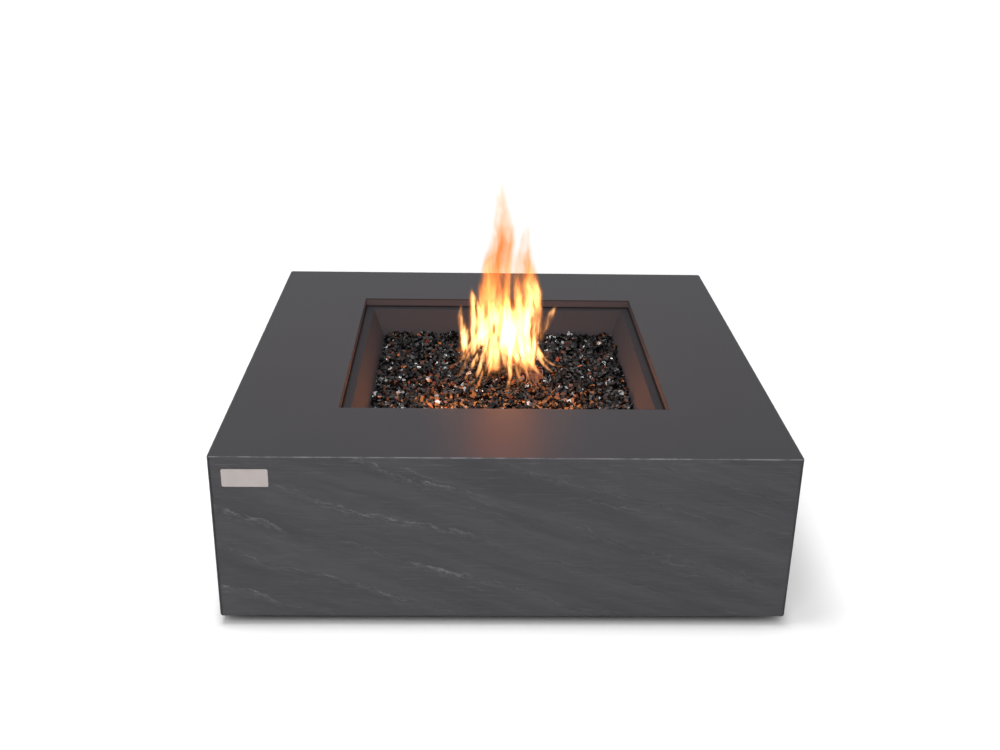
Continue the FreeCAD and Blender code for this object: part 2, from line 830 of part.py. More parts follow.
def ring_burner():
    """A hollow ring fed by a cross tube through a hub, with gas ports round its top."""
    body = new_body("burner_ring", (0, 0, pan_floor))
    section = new_sketch(body, plane="XZ_Plane")
    circle(section, s.ring_tube, s.ring_radius, ring_height)
    ring = body.newObject("PartDesign::Revolution", "burner_ring_turning")
    ring.Profile = section
    ring.ReferenceAxis = (section, ["V_Axis"])
    ring.Angle = 360
    cross = new_sketch(body, 0, ring_height, -s.ring_radius, "XZ_Plane")
    circle(cross, s.ring_tube)
    pad(body, cross, s.ring_radius * 2)
    hub = new_sketch(body)
    circle(hub, s.hub_radius)
    pad(body, hub, hub_height)
    bore = new_sketch(body, plane="XZ_Plane")
    circle(bore, s.ring_tube - s.ring_sheet, s.ring_radius, ring_height)
    DOC.recompute()
    before = body.Shape.Volume
    groove = body.newObject("PartDesign::Groove", "burner_ring_bore")
    groove.Profile = bore
    groove.ReferenceAxis = (bore, ["V_Axis"])
    groove.Angle = 360
    cut_checked(body, groove, before)
    passage = new_sketch(body, 0, ring_height, s.ring_radius, "XZ_Plane")
    circle(passage, s.ring_tube - s.ring_sheet)
    pocket(body, passage, s.ring_radius * 2)
    drill(body, s.spigot_radius + s.fit, s.spigot_rise, reverse=True)
    port = drill(body, s.port_radius, s.ring_sheet * 2, s.ring_radius, 0, ring_height + s.ring_tube + s.gap)
    around(body, [port], s.ring_ports)


def burner_nut():
    nut("burner_nut", s.lock_nut_flats, s.lock_nut_height, s.spigot_radius + s.fit,
        (0, 0, pan_bottom - s.lock_nut_height))


def air_mixer():
    """A tube that screws up into the hub, with windows that let air in beside the gas jet."""
    shoulder = s.mixer_length
    spigot_end = s.mixer_length + s.mixer_neck + s.pan_sheet + s.spigot_rise - s.gap
    jet_hole = s.orifice_spigot + s.fit
    outline = [(jet_hole, 0), (s.mixer_radius, 0), (s.mixer_radius, shoulder), (s.spigot_radius, shoulder),
               (s.spigot_radius, spigot_end), (s.mixer_bore, spigot_end), (s.mixer_bore, s.mixer_floor),
               (jet_hole, s.mixer_floor)]
    body = turned("air_mixer", outline, (0, 0, mixer_bottom))
    window = new_sketch(body, 0, s.air_window_up + s.air_window_height / 2, 0, "XZ_Plane")
    rectangle(window, s.air_window_width, s.air_window_height)
    opening = pocket(body, window, s.mixer_radius * 2)
    around(body, [opening], 4)


def gas_orifice():
    """A brass jet: its spigot stands in the mixer's floor, and its tail takes the gas tube."""
    tail = s.tail_length
    shoulder = tail + s.orifice_hex
    rise = shoulder + s.orifice_rise
    outline = [(0, 0), (s.tail_radius, 0), (s.tail_radius, tail), (s.orifice_flats / 2, tail),
               (s.orifice_flats / 2, shoulder), (s.orifice_spigot, shoulder),
               (s.orifice_spigot, rise), (0, rise)]
    body = turned("gas_orifice", outline, (0, 0, orifice_bottom - tail))
    hexagon(body, s.orifice_flats, s.orifice_hex, tail)
    drill(body, s.tail_bore, rise - s.jet_length, reverse=True)
    drill(body, s.jet_radius, rise, reverse=True)


# Tubes and their nuts


def tube_nut(label, place, turn):
    """Screwed over a tail. Its local origin is the tail's free end, and local +Z points at the fitting."""
    body = new_body(label, place, turn)
    behind = s.tube_nut_length - s.tail_length + s.gap * 2
    hexagon(body, s.tube_nut_flats, s.tube_nut_length, -behind)
    drill(body, s.tail_radius + s.fit, s.tube_nut_length, reverse=True)
    drill(body, s.tube_radius + s.fit, s.tube_nut_length * 2, out=-behind, reverse=True)


def tube_nuts():
    tube_nut("tube_nut_burner", (0, 0, orifice_bottom - s.tail_length), UPRIGHT)
    tube_nut("tube_nut_outlet", (valve_x - valve_tail, outlet_y, s.panel_z), TO_RIGHT)
    tube_nut("tube_nut_inlet", (valve_x, inlet_y, s.panel_z - valve_tail), UPRIGHT)
    tube_nut("tube_nut_supply", (valve_x, inlet_y, s.inlet_z + s.inlet_block / 2 + s.tail_length), TO_FLOOR)


def gas_tube():
    """From the valve's outlet, down and forward under the pan, and up into the orifice."""
    outer = vector(valve_x - valve_tail, outlet_y, s.panel_z)
    drop = vector(valve_x - valve_tail - s.tube_out, outlet_y, s.panel_z)
    low = vector(valve_x - valve_tail - s.tube_out, outlet_y - s.tube_forward, s.panel_z - s.tube_drop)
    end = vector(0, 0, orifice_bottom - s.tail_length)
    under = FreeCAD.Vector(0, 0, low.z)
    points = [outer, drop, low, under, end]
    skin = swept(points, s.tube_bend, s.tube_radius)
    formed("gas_tube", skin.cut(swept(points, s.tube_bend, s.tube_radius - s.tube_wall)))


def inlet_tube():
    low = s.inlet_z + s.inlet_block / 2 + s.tail_length
    length = s.panel_z - valve_tail - low
    inside = s.tube_radius - s.tube_wall
    turned("inlet_tube", [(inside, 0), (s.tube_radius, 0), (s.tube_radius, length), (inside, length)],
           (valve_x, inlet_y, low))


# Gas valve, from its back end towards the panel


def gas_valve():
    body = new_body("gas_valve", (valve_x, valve_back, s.panel_z), TO_REAR)
    block = new_sketch(body)
    rectangle(block, s.valve_width, s.valve_width)
    pad(body, block, s.valve_depth)
    neck = new_sketch(body)
    circle(neck, s.neck_radius)
    pad(body, neck, neck_end)
    inlet = new_sketch(body, 0, s.inlet_port_up, 0, "XZ_Plane")
    circle(inlet, s.tail_radius)
    pad(body, inlet, valve_tail, reverse=True)
    outlet = new_sketch(body, 0, s.outlet_port_up, 0, "YZ_Plane")
    circle(outlet, s.tail_radius)
    pad(body, outlet, valve_tail, reverse=True)
    drill(body, s.plug_radius + s.fit, s.plug_chamber, reverse=True)
    drill(body, s.spring_chamber_radius, s.plug_chamber + s.spring_chamber, reverse=True)
    drill(body, s.spindle_radius + s.fit, neck_end, reverse=True)
    drill(body, s.tail_bore, valve_tail, 0, s.inlet_port_up, 0, "XZ_Plane", False)
    drill(body, s.tail_bore, valve_tail, 0, s.outlet_port_up, 0, "YZ_Plane", False)


def valve_plug():
    """It turns in the valve's body, slotted for the spindle's tongue, and lets the push rod through."""
    body = new_body("valve_plug", (valve_x, valve_back + plug_start, s.panel_z), TO_REAR)
    outline = new_sketch(body)
    circle(outline, s.plug_radius)
    pad(body, outline, s.plug_length)
    slot = new_sketch(body, out=s.plug_length)
    rectangle(slot, s.tongue_width + 2 * s.tongue_gap, s.tongue_thickness + 2 * s.tongue_gap)
    pocket(body, slot, slot_depth)
    drill(body, s.rod_radius + s.gap, s.plug_length, reverse=True)
    drill(body, s.plug_port, s.plug_radius, 0, (s.plug_length - slot_depth) / 2, 0, "XZ_Plane")


def push_rod():
    length = tongue_start + s.rod_engagement - s.magnet_thread
    turned("push_rod", [(0, 0), (s.rod_radius, 0), (s.rod_radius, length), (0, length)],
           (valve_x, valve_back + s.magnet_thread, s.panel_z), TO_REAR)


def valve_spindle():
    body = new_body("valve_spindle", (valve_x, valve_back, s.panel_z), TO_REAR)
    tongue = new_sketch(body, out=tongue_start)
    rectangle(tongue, s.tongue_width, s.tongue_thickness)
    pad(body, tongue, shaft_start + s.gap - tongue_start)
    shaft = new_sketch(body, out=shaft_start)
    circle(shaft, s.spindle_radius)
    pad(body, shaft, knob_start + s.knob_socket - shaft_start)
    collar = new_sketch(body, out=s.plug_chamber + s.spring_chamber - s.collar_thickness - s.gap)
    circle(collar, s.collar_radius)
    pad(body, collar, s.collar_thickness)
    drill(body, s.rod_radius + s.fit, s.rod_engagement, out=tongue_start, reverse=True)


def valve_spring():
    length = s.spring_chamber - s.collar_thickness - 2 * s.gap
    shape = coil(s.valve_spring_radius, s.valve_spring_wire, length, s.valve_spring_turns)
    formed("valve_spring", shape, vector(valve_x, valve_back + s.plug_chamber, s.panel_z), TO_REAR)


def magnet_unit():
    body = new_body("magnet_unit", (valve_x, magnet_back, s.panel_z), TO_REAR)
    tail = new_sketch(body)
    circle(tail, s.magnet_tail_radius)
    pad(body, tail, s.magnet_tail)
    hexagon(body, s.magnet_flats, s.magnet_head, s.magnet_tail)
    thread = new_sketch(body, out=s.magnet_tail + s.magnet_head)
    circle(thread, s.plug_radius)
    pad(body, thread, s.magnet_thread)
    drill(body, s.magnet_bore, s.magnet_bore_depth, out=s.magnet_tail + s.magnet_head + s.magnet_thread)


def valve_nut():
    nut("valve_nut", s.valve_nut_flats, s.valve_nut_height, s.neck_radius + s.fit,
        (valve_x, panel_front, s.panel_z), TO_REAR)


def control_knob():
    """A fluted knob, hollow at its base so that it clears the nut when it is pushed in."""
    body = new_body("control_knob", (valve_x, valve_back + knob_start, s.panel_z), TO_REAR)
    outline = new_sketch(body)
    circle(outline, s.knob_radius)
    pad(body, outline, s.knob_height)
    soften(body, "Chamfer", s.knob_edge, level_with(s.knob_height))
    cavity = neck_end + s.push_travel + s.gap - knob_start
    drill(body, s.knob_cavity, cavity, reverse=True)
    drill(body, s.spindle_radius + s.fit, s.knob_socket, reverse=True)
    flute = drill(body, s.flute_radius, s.knob_height, s.knob_radius + s.flute_radius - s.flute_bite, 0,
                  s.knob_height)
    around(body, [flute], s.grip_flutes)
    outer_end = s.knob_edge + s.pointer_inset - s.knob_radius
    pointer = new_sketch(body, 0, outer_end + s.pointer_length / 2, s.knob_height)
    rectangle(pointer, s.pointer_width, s.pointer_length)
    pocket(body, pointer, s.pointer_depth)


# Control panel and igniter


def control_panel():
    body = new_body("control_panel", (s.panel_x, panel_back, s.panel_z), TO_REAR)
    outline = new_sketch(body)
    rectangle(outline, s.panel_width, s.panel_height)
    pad(body, outline, s.panel_sheet)
    soften(body, "Fillet", s.panel_round, upright)
    drill(body, s.neck_radius + s.gap, s.panel_sheet, valve_x - s.panel_x, reverse=True)
    drill(body, s.igniter_barrel + s.gap, s.panel_sheet, button_x - s.panel_x, reverse=True)
    for side, level in PANEL_CORNERS:
        drill(body, s.screw_radius + s.gap, s.panel_sheet, side * (s.panel_width / 2 - s.panel_screw_inset),
              level * (s.panel_height / 2 - s.panel_screw_inset), reverse=True)


def panel_screws():
    across = s.panel_width / 2 - s.panel_screw_inset
    up = s.panel_height / 2 - s.panel_screw_inset
    places = [(s.panel_x + side * across, panel_front, s.panel_z + level * up)
              for side, level in PANEL_CORNERS]
    screws("panel_screws", s.panel_sheet + s.panel_screw_length - s.gap, places, TO_REAR)


def igniter_housing():
    flange = s.igniter_length
    end = s.igniter_length + s.igniter_flange_height
    turned("igniter_housing", [(0, -s.terminal_length), (s.terminal_radius, -s.terminal_length),
                               (s.terminal_radius, 0), (s.igniter_barrel, 0), (s.igniter_barrel, flange),
                               (s.igniter_flange, flange), (s.igniter_flange, end),
                               (s.igniter_bore + s.fit, end), (s.igniter_bore + s.fit, s.igniter_floor),
                               (0, s.igniter_floor)], (button_x, igniter_back, s.panel_z), TO_REAR)
    nut("igniter_nut", s.igniter_nut_flats, s.igniter_nut_height, s.igniter_barrel + s.fit,
        (button_x, panel_back - s.igniter_nut_height, s.panel_z), TO_REAR)


def battery():
    shoulder = s.battery_length - s.battery_tip
    outline = [(0, 0), (s.battery_radius, 0), (s.battery_radius, shoulder), (s.battery_tip_radius, shoulder),
               (s.battery_tip_radius, s.battery_length), (0, s.battery_length)]
    turned("battery", outline, (button_x, igniter_back + s.igniter_floor, s.panel_z), TO_REAR)


def igniter_button():
    """The spring stands on the battery's shoulder and pushes the button out."""
    start = s.igniter_floor + s.battery_length + s.igniter_spring_length
    end = s.igniter_length + s.igniter_flange_height + s.button_rise
    body = turned("igniter_button", [(0, start), (s.igniter_bore, start), (s.igniter_bore, end), (0, end)],
                  (button_x, igniter_back, s.panel_z), TO_REAR)
    soften(body, "Chamfer", s.button_edge, level_with(end))
    shoulder = s.igniter_floor + s.battery_length - s.battery_tip
    shape = coil(s.igniter_spring_radius, s.igniter_spring_wire, start - shoulder, s.igniter_spring_turns)
    formed("igniter_spring", shape, vector(button_x, igniter_back + shoulder, s.panel_z), TO_REAR)


# Spark electrode, thermocouple and their shield


def lead_route(start_x, start_y, end_x, end_z):
    """Forward from the controls, down, under the pan, and up beside the burner."""
    start = vector(start_x, start_y, s.panel_z)
    bend = vector(start_x, start_y - s.lead_forward, s.panel_z)
    level = s.panel_z - s.lead_drop
    low = vector(start_x, start_y - s.lead_reach, level)
    under = vector(end_x, s.sensor_y, level)
    return [start, bend, low, under, vector(end_x, s.sensor_y, end_z)]


def thermocouple():
    """A steel probe in the bracket, and the copper lead from its foot back to the magnet unit."""
    foot = bracket_top - s.probe_below
    rod = s.probe_below + s.probe_above
    turned("thermocouple", [(0, 0), (s.probe_radius, 0), (s.probe_radius, rod - s.probe_tip),
                            (s.probe_radius - s.probe_tip, rod), (0, rod)], (probe_x, s.sensor_y, foot))
    route = lead_route(valve_x, magnet_back, probe_x, foot)
    formed("thermocouple_lead", swept(route, s.lead_bend, s.lead_radius))


def spark():
    foot = bracket_top - s.insulator_below
    tall = s.insulator_below + s.insulator_above
    turned("electrode_insulator", [(s.electrode_radius + s.fit, 0), (s.insulator_radius, 0),
                                   (s.insulator_radius, tall), (s.electrode_radius + s.fit, tall)],
           (spark_x, s.sensor_y, foot))
    rod = s.electrode_below + tall + s.electrode_above
    turned("spark_electrode", [(0, 0), (s.electrode_radius, 0), (s.electrode_radius, rod), (0, rod)],
           (spark_x, s.sensor_y, foot - s.electrode_below))
    route = lead_route(button_x, igniter_back - s.terminal_length, spark_x, foot - s.electrode_below)
    formed("ignition_wire", swept(route, s.lead_bend, s.wire_radius))


def sensor_bracket():
    body = new_body("sensor_bracket", (s.sensor_x, s.sensor_y, pan_floor))
    outline = new_sketch(body)
    rectangle(outline, s.bracket_width, s.bracket_depth)
    pad(body, outline, s.bracket_sheet)
    drill(body, s.probe_radius + s.fit, s.bracket_sheet, -s.sensor_spacing / 2, reverse=True)
    drill(body, s.insulator_radius + s.fit, s.bracket_sheet, s.sensor_spacing / 2, reverse=True)


def pierce(body, plane, wide, deep, rows):
    """Rows of small holes right through two opposite walls of the shield."""
    height = float(shield_top - bracket_top)
    step = float(s.shield_hole_spacing)
    columns = int((float(wide) - 2 * float(s.shield_hole)) / step)
    holes = new_sketch(body, 0, shield_top - bracket_top, deep / 2, plane)
    for row in range(min(int(float(rows)), int(height / step) - 1)):
        for column in range(columns):
            place = (column - (columns - 1) / 2) * s.shield_hole_spacing
            circle(holes, s.shield_hole, place, -(row + 1) * s.shield_hole_spacing)
    pocket(body, holes, deep)


def sensor_shield():
    """A perforated box, open at the top, that keeps the glass off the electrode and the thermocouple."""
    body = new_body("sensor_shield", (s.sensor_x, s.sensor_y, bracket_top))
    outline = new_sketch(body)
    rectangle(outline, s.shield_width, s.shield_depth)
    pad(body, outline, shield_top - bracket_top)
    inside = new_sketch(body)
    rectangle(inside, s.shield_width - 2 * s.shield_sheet, s.shield_depth - 2 * s.shield_sheet)
    pocket(body, inside, shield_top - bracket_top, reverse=True)
    pierce(body, "XZ_Plane", s.shield_width, s.shield_depth, s.shield_hole_rows)
    pierce(body, "YZ_Plane", s.shield_depth, s.shield_width, s.shield_hole_rows)


# Gas inlet


def inlet_fitting():
    """An elbow: its thick thread is clamped in the bracket, its free end stands out, its tail points up."""
    body = new_body("inlet_fitting", (valve_x, inlet_y, s.inlet_z), TO_REAR)
    back = inner_wall - s.plate_sheet - inlet_y
    nut_face = back + s.plate_sheet + s.inlet_nut_height
    block = new_sketch(body, out=-s.inlet_block / 2)
    rectangle(block, s.inlet_block, s.inlet_block)
    pad(body, block, s.inlet_block)
    neck = new_sketch(body)
    circle(neck, s.inlet_neck)
    pad(body, neck, back)
    thread = new_sketch(body)
    circle(thread, s.inlet_thread)
    pad(body, thread, nut_face)
    flare = new_sketch(body)
    circle(flare, s.inlet_radius)
    pad(body, flare, nut_face + s.inlet_mate)
    tail = new_sketch(body, plane="XZ_Plane")
    circle(tail, s.tail_radius)
    pad(body, tail, s.inlet_block / 2 + s.tail_length)
    drill(body, s.inlet_bore, nut_face + s.inlet_mate, reverse=True)
    drill(body, s.tail_bore, s.inlet_block / 2 + s.tail_length, 0, 0, 0, "XZ_Plane", True)


def inlet_bracket():
    middle = plate_top - s.plate_height / 2
    body = new_body("inlet_bracket", (valve_x, inner_wall - s.plate_sheet, middle), TO_REAR)
    outline = new_sketch(body)
    rectangle(outline, s.plate_width, s.plate_height)
    pad(body, outline, s.plate_sheet)
    drill(body, s.inlet_thread + s.gap, s.plate_sheet, 0, middle - s.inlet_z, reverse=True)
    for side in (-1, 1):
        drill(body, s.screw_radius + s.gap, s.plate_sheet, side * plate_screw,
              s.plate_screw_drop - s.plate_height / 2, reverse=True)
    places = [(valve_x + side * plate_screw, inner_wall - s.plate_sheet, plate_top - s.plate_screw_drop)
              for side in (-1, 1)]
    screws("bracket_screws", s.plate_sheet + s.screw_length - s.gap, places, TO_FRONT)
    nut("inlet_nut", s.inlet_nut_flats, s.inlet_nut_height, s.inlet_thread + s.fit,
        (valve_x, inner_wall, s.inlet_z), TO_REAR)


# Levelling feet


def foot(name, side, depth):
    """A threaded insert in the gusset, a stud with a hexagon collar, and the pad that it turns in."""
    x = side * foot_place
    y = depth * foot_place
    bore = s.stud_radius + s.fit
    sleeve = [(bore, 0), (s.insert_radius, 0), (s.insert_radius, s.insert_length), (bore, s.insert_length)]
    rod = [(0, s.pad_floor), (s.stud_radius, s.pad_floor), (s.stud_radius, stud_top), (0, stud_top)]
    cup = [(0, 0), (s.pad_radius - s.pad_edge, 0), (s.pad_radius, s.pad_edge),
           (s.pad_radius, s.pad_height / 2),
           (s.pad_neck, s.pad_height), (bore, s.pad_height), (bore, s.pad_floor), (0, s.pad_floor)]
    turned(f"foot_insert_{name}", sleeve, (x, y, s.floor_gap))
    stud = turned(f"foot_stud_{name}", rod, (x, y, 0))
    hexagon(stud, s.stud_flats, s.collar_height, s.pad_height + s.gap)
    turned(f"foot_pad_{name}", cup, (x, y, 0))


def feet():
    for name, side, depth in CORNERS:
        foot(name, side, depth)


def build():
    concrete_body()
    badge()
    fire_glass()
    burner_pan()
    pan_screws()
    ring_burner()
    burner_nut()
    air_mixer()
    gas_orifice()
    tube_nuts()
    gas_tube()
    inlet_tube()
    gas_valve()
    valve_plug()
    push_rod()
    valve_spindle()
    valve_spring()
    magnet_unit()
    valve_nut()
    control_knob()
    control_panel()
    panel_screws()
    igniter_housing()
    battery()
    igniter_button()
    thermocouple()
    spark()
    sensor_bracket()
    sensor_shield()
    inlet_fitting()
    inlet_bracket()
    feet()


def check():
    """Every object is computed and every piece is a valid solid."""
    DOC.recompute()
    for thing in DOC.Objects:
        if "Invalid" in thing.State or "Error" in thing.State:
            raise RuntimeError(f"{thing.Name} is {thing.State}")
    for piece in PIECES:
        if piece.Shape.isNull() or not piece.Shape.isValid() or piece.Shape.Volume <= 0:
            raise RuntimeError(f"{piece.Label} is not a valid solid")


def write():
    os.makedirs("parts", exist_ok=True)
    for piece in PIECES:
        piece.Shape.exportStep(f"parts/{piece.Label}.step")


build()
check()
write()
print(len(PIECES), "pieces")
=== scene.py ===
"""Looks of a square gas fire table: slate-faced concrete, black fire glass, steel and a live flame."""

import json
import math

import bmesh
import bpy
import numpy as np
from bpy.props import FloatProperty, FloatVectorProperty, IntProperty, PointerProperty
from bpy.types import Operator, Panel, PropertyGroup
from mathutils import Matrix, Quaternion, Vector


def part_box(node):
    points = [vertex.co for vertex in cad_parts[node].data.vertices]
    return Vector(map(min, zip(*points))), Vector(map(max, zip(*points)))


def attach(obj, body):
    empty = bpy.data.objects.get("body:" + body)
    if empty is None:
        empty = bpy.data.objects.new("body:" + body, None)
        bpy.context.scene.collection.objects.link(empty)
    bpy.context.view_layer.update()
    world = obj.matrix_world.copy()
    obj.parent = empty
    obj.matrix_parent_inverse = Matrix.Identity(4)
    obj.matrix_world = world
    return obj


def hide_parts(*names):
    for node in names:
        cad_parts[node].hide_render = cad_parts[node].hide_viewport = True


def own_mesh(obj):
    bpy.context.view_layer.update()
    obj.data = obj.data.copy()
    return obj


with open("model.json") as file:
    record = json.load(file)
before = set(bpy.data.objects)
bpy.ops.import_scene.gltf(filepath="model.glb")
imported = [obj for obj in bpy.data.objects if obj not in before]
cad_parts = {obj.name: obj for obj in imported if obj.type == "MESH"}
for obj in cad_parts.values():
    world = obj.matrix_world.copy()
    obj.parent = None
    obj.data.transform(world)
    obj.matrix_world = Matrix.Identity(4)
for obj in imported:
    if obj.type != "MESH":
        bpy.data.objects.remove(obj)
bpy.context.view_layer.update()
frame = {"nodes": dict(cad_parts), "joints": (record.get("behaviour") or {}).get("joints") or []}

bl_info = {
    "name": "Gas fire table",
    "version": (1, 0, 0),
    "blender": (4, 5, 0),
    "location": "3D View > Sidebar > Fire Table",
    "description": "Dresses the solids of a gas fire table, fills its bowl with glass and lights the flame",
    "category": "Object",
}

# Places read from the frame, in metres
BODY_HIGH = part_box("concrete_body")[1]
GLASS_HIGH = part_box("fire_glass")[1]
SHIELD_LOW, SHIELD_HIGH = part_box("sensor_shield")
PANEL_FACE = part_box("control_panel")[1].y
KNOB_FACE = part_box("control_knob")[1].y
TABLE_TOP = BODY_HIGH.z
HALF_WIDTH = BODY_HIGH.x

# The bowl: depth of its ledge, half the width inside its lip, and height of the heaps of glass, in metres
LEDGE_DEPTH = 0.020
LIP = 0.322
HEAP_HEIGHT = 0.007
LEDGE = TABLE_TOP - LEDGE_DEPTH
BED_LEVEL = GLASS_HIGH.z - HEAP_HEIGHT

# The photograph's camera, in metres, degrees and millimetres
CAMERA_PLACE = (-0.0713, -2.3984, 1.3014)
CAMERA_YAW = 1.688
CAMERA_PITCH = 22.871
CAMERA_ROLL = 1.071
CAMERA_LENS = 42.25
SENSOR_WIDTH = 36

# Lamps of the studio: place and size, in metres
OVERHEAD_LAMP = ((-0.45, -0.42, 3.0), 0.95)
FILL_LAMP = ((-0.40, -2.6, 2.7), 1.8)

# Small lamps that the glass mirrors: their arc in degrees, their reach, heights and size in metres
GLINT_LAMPS = 9
GLINT_START, GLINT_SWEEP = 145, 250
GLINT_ACROSS, GLINT_DEEP = 2.2, 2.0
GLINT_LOW, GLINT_SPREAD = 1.5, 1.3
GLINT_SIZE = 0.24

# The studio floor: half its side, and where its far glow starts and is full, in metres
FLOOR_HALF = 30.0
GLOW_START, GLOW_FULL = 1.0, 3.4

# Lamps of the fire: name, share of its light, place across, deep and above the table's top, in metres
LOW_LAMPS = [
    ("left", 0.24, -0.110, -0.175, -0.026),
    ("right", 0.19, 0.125, -0.175, -0.026),
    ("middle", 0.07, 0.010, -0.060, 0.050),
]
HIGH_LAMPS = [
    ("high_left", 0.072, -0.036, -0.040, 0.190),
    ("high_right", 0.072, 0.062, -0.040, 0.190),
    ("top", 0.092, 0.012, -0.040, 0.275),
]
FIRE_LAMP_SIZE = 0.045

# Corners of the space that holds the flame, in metres from the middle of the table's top
FLAME_LOW = (-0.165, -0.165, -0.070)
FLAME_HIGH = (0.175, 0.165, 0.400)

# Main tongues of the flame, in metres: foot across, deep and up, tip across, deep and up, half width, bend.
# Heights start at the table's top.
TONGUES = [
    (-0.014, 0.000, -0.050, -0.006, 0.000, 0.400, 0.043, -0.005),
    (-0.022, -0.012, -0.045, -0.020, -0.004, 0.305, 0.030, -0.006),
    (0.052, 0.002, -0.050, 0.052, 0.004, 0.300, 0.040, 0.006),
    (0.066, -0.006, -0.045, 0.073, 0.000, 0.250, 0.024, 0.006),
    (0.018, 0.020, -0.050, 0.022, 0.016, 0.285, 0.034, 0.005),
    (0.014, -0.030, -0.030, 0.010, -0.012, 0.150, 0.036, 0.004),
    (0.030, 0.030, -0.050, 0.034, 0.024, 0.200, 0.034, -0.006),
    (-0.060, 0.000, -0.012, -0.057, 0.000, 0.154, 0.027, 0.008),
    (-0.092, -0.004, -0.026, -0.083, 0.000, 0.106, 0.018, 0.009),
    (0.070, -0.002, -0.018, 0.118, -0.004, 0.118, 0.019, -0.004),
]

# Where the roots of the flame start on the glass, across and deep
ROOTS = [
    (-0.112, -0.020), (-0.098, -0.044), (-0.080, -0.070), (-0.062, -0.084), (-0.043, -0.050), (-0.019, 0.030),
    (0.004, -0.127), (0.016, -0.088), (0.034, -0.098), (0.052, -0.060), (0.074, -0.090), (0.092, -0.070),
    (0.118, -0.040), (0.132, 0.020), (0.150, 0.060), (0.079, -0.009), (-0.125, 0.060), (-0.100, 0.110),
    (0.030, 0.118), (-0.030, 0.110), (0.105, 0.100),
]

# Fire glass, in metres: depth of each layer, room that shards and bed leave to the walls, depth of the bed
LAYER_DEPTHS = (0.0140, 0.0090, 0.0040)
SHARD_ROOM = 0.0072
BED_ROOM = 0.0035
BED_DEPTH = 0.0150
SHARD_CUTS = 6

# Springs: radius of the wire in metres, and how many turns
VALVE_SPRING = (0.0005, 6)
IGNITER_SPRING = (0.0004, 4)

# Printed marks, in metres and degrees: thickness of the print; radius, thicknesses and arc of the band round
# the knob and of the off dot; place and height of the flames and the spark
PRINT = 0.00006
BAND = (0.0245, 0.0034, 0.0006, 90, 210)
DOT_UP = 0.0275
DOT = (0.0010, 0.0009, 0.0009, 0, 360)
FLAMES = ((0.0335, 0.0, 0.0085), (-0.0150, -0.0275, 0.0050))
SPARK_UP, SPARK_HEIGHT = 0.0235, 0.0095

# Paint in the knob's pointer slot, in metres: section, start, length and depth
POINTER_SECTION = ((-0.00092, 0.0), (-0.0004, 0.00025), (0.0004, 0.00025), (0.00092, 0.0))
POINTER_START, POINTER_LENGTH = 0.0061, 0.0118
POINTER_DEPTH = 0.00078


# Settings that a user may change


def tint(name, description, default):
    return FloatVectorProperty(
        name=name, description=description, default=default, subtype="COLOR", size=3, min=0.0, max=1.0)


def metres(name, description, default, precision=4):
    return FloatProperty(
        name=name, description=description, default=default, unit="LENGTH", precision=precision, min=0)


def watts(name, description, default):
    return FloatProperty(name=name, description=description, default=default, unit="POWER", min=0)


def factor(name, description, default):
    return FloatProperty(name=name, description=description, default=default, min=0)


class StoneLook(PropertyGroup):
    top_colour: tint("Top colour", "Colour of the smooth top", (0.038, 0.0375, 0.042))
    side_colour: tint("Side colour", "Colour of the slate sides", (0.078, 0.0765, 0.083))
    # The vein colour also paints the highlight along the top edge and down the corners.
    vein_colour: tint("Vein colour", "Colour of the raised veins and worn edges", (0.205, 0.20, 0.21))
    vein_slope: FloatProperty(
        name="Vein slope", description="How steeply the veins run down the sides", default=math.radians(18),
        subtype="ANGLE")
    vein_spacing: metres("Vein spacing", "Distance from one vein to the next", 0.082)
    vein_height: metres("Vein height", "Height of the step at each vein", 0.0026, 5)
    cleft_height: metres("Cleft height", "Depth of the split layers of the slate", 0.0016, 5)
    streak_height: metres("Streak height", "Depth of the fine streaks of the slate", 0.0005, 5)


class GlassLook(PropertyGroup):
    shard_radius: metres("Shard radius", "Half the length of a common shard", 0.0068)
    spacing: metres("Spacing", "Distance between neighbouring shards of one layer", 0.0102)
    kinds: IntProperty(name="Kinds", description="How many different shards are made", default=28, min=4)
    seed: IntProperty(name="Seed", description="Another number scatters the shards anew", default=11)
    colour: tint("Glass colour", "Colour deep in the glass", (0.003, 0.003, 0.0035))
    smoky_colour: tint("Smoky glass", "Colour of the smoky shards", (0.024, 0.024, 0.025))
    brown_colour: tint("Brown glass", "Colour of the few brown shards", (0.070, 0.038, 0.026))


class MetalLook(PropertyGroup):
    plate_colour: tint("Front plate", "Colour of the bare brushed plate", (0.40, 0.362, 0.35))
    steel_colour: tint("Steel", "Colour of stainless sheet", (0.56, 0.56, 0.55))
    zinc_colour: tint("Zinc", "Colour of plated parts", (0.60, 0.62, 0.65))
    brass_colour: tint("Brass", "Colour of machined brass", (0.70, 0.52, 0.24))


class FlameLook(PropertyGroup):
    glow: factor("Glow", "Light given by a metre of the hottest flame", 150)
    ember: factor("Ember", "Light given by a metre of the coolest flame", 26)
    veil: factor("Veil", "How much of what is behind it the cool flame hides", 62)
    sway: metres("Sway", "How far the tongues wander at their tips", 0.034, 3)
    lick: metres("Lick", "How far their skins flicker", 0.026, 3)
    lamp_power: watts("Fire light", "Light that the flame throws on the bowl", 8.0)
    lamp_colour: tint("Fire colour", "Colour of the light on the bowl", (1.0, 0.30, 0.07))
    high_colour: tint("High fire colour", "Colour of the light mirrored in the top", (1.0, 0.17, 0.02))
    seed: IntProperty(name="Seed", description="Another number lights another fire", default=4)
    grain: FloatProperty(
        name="Grain", description="Side of the small cubes that the flame is worked out in", default=0.0021,
        unit="LENGTH", precision=4, min=0.001)


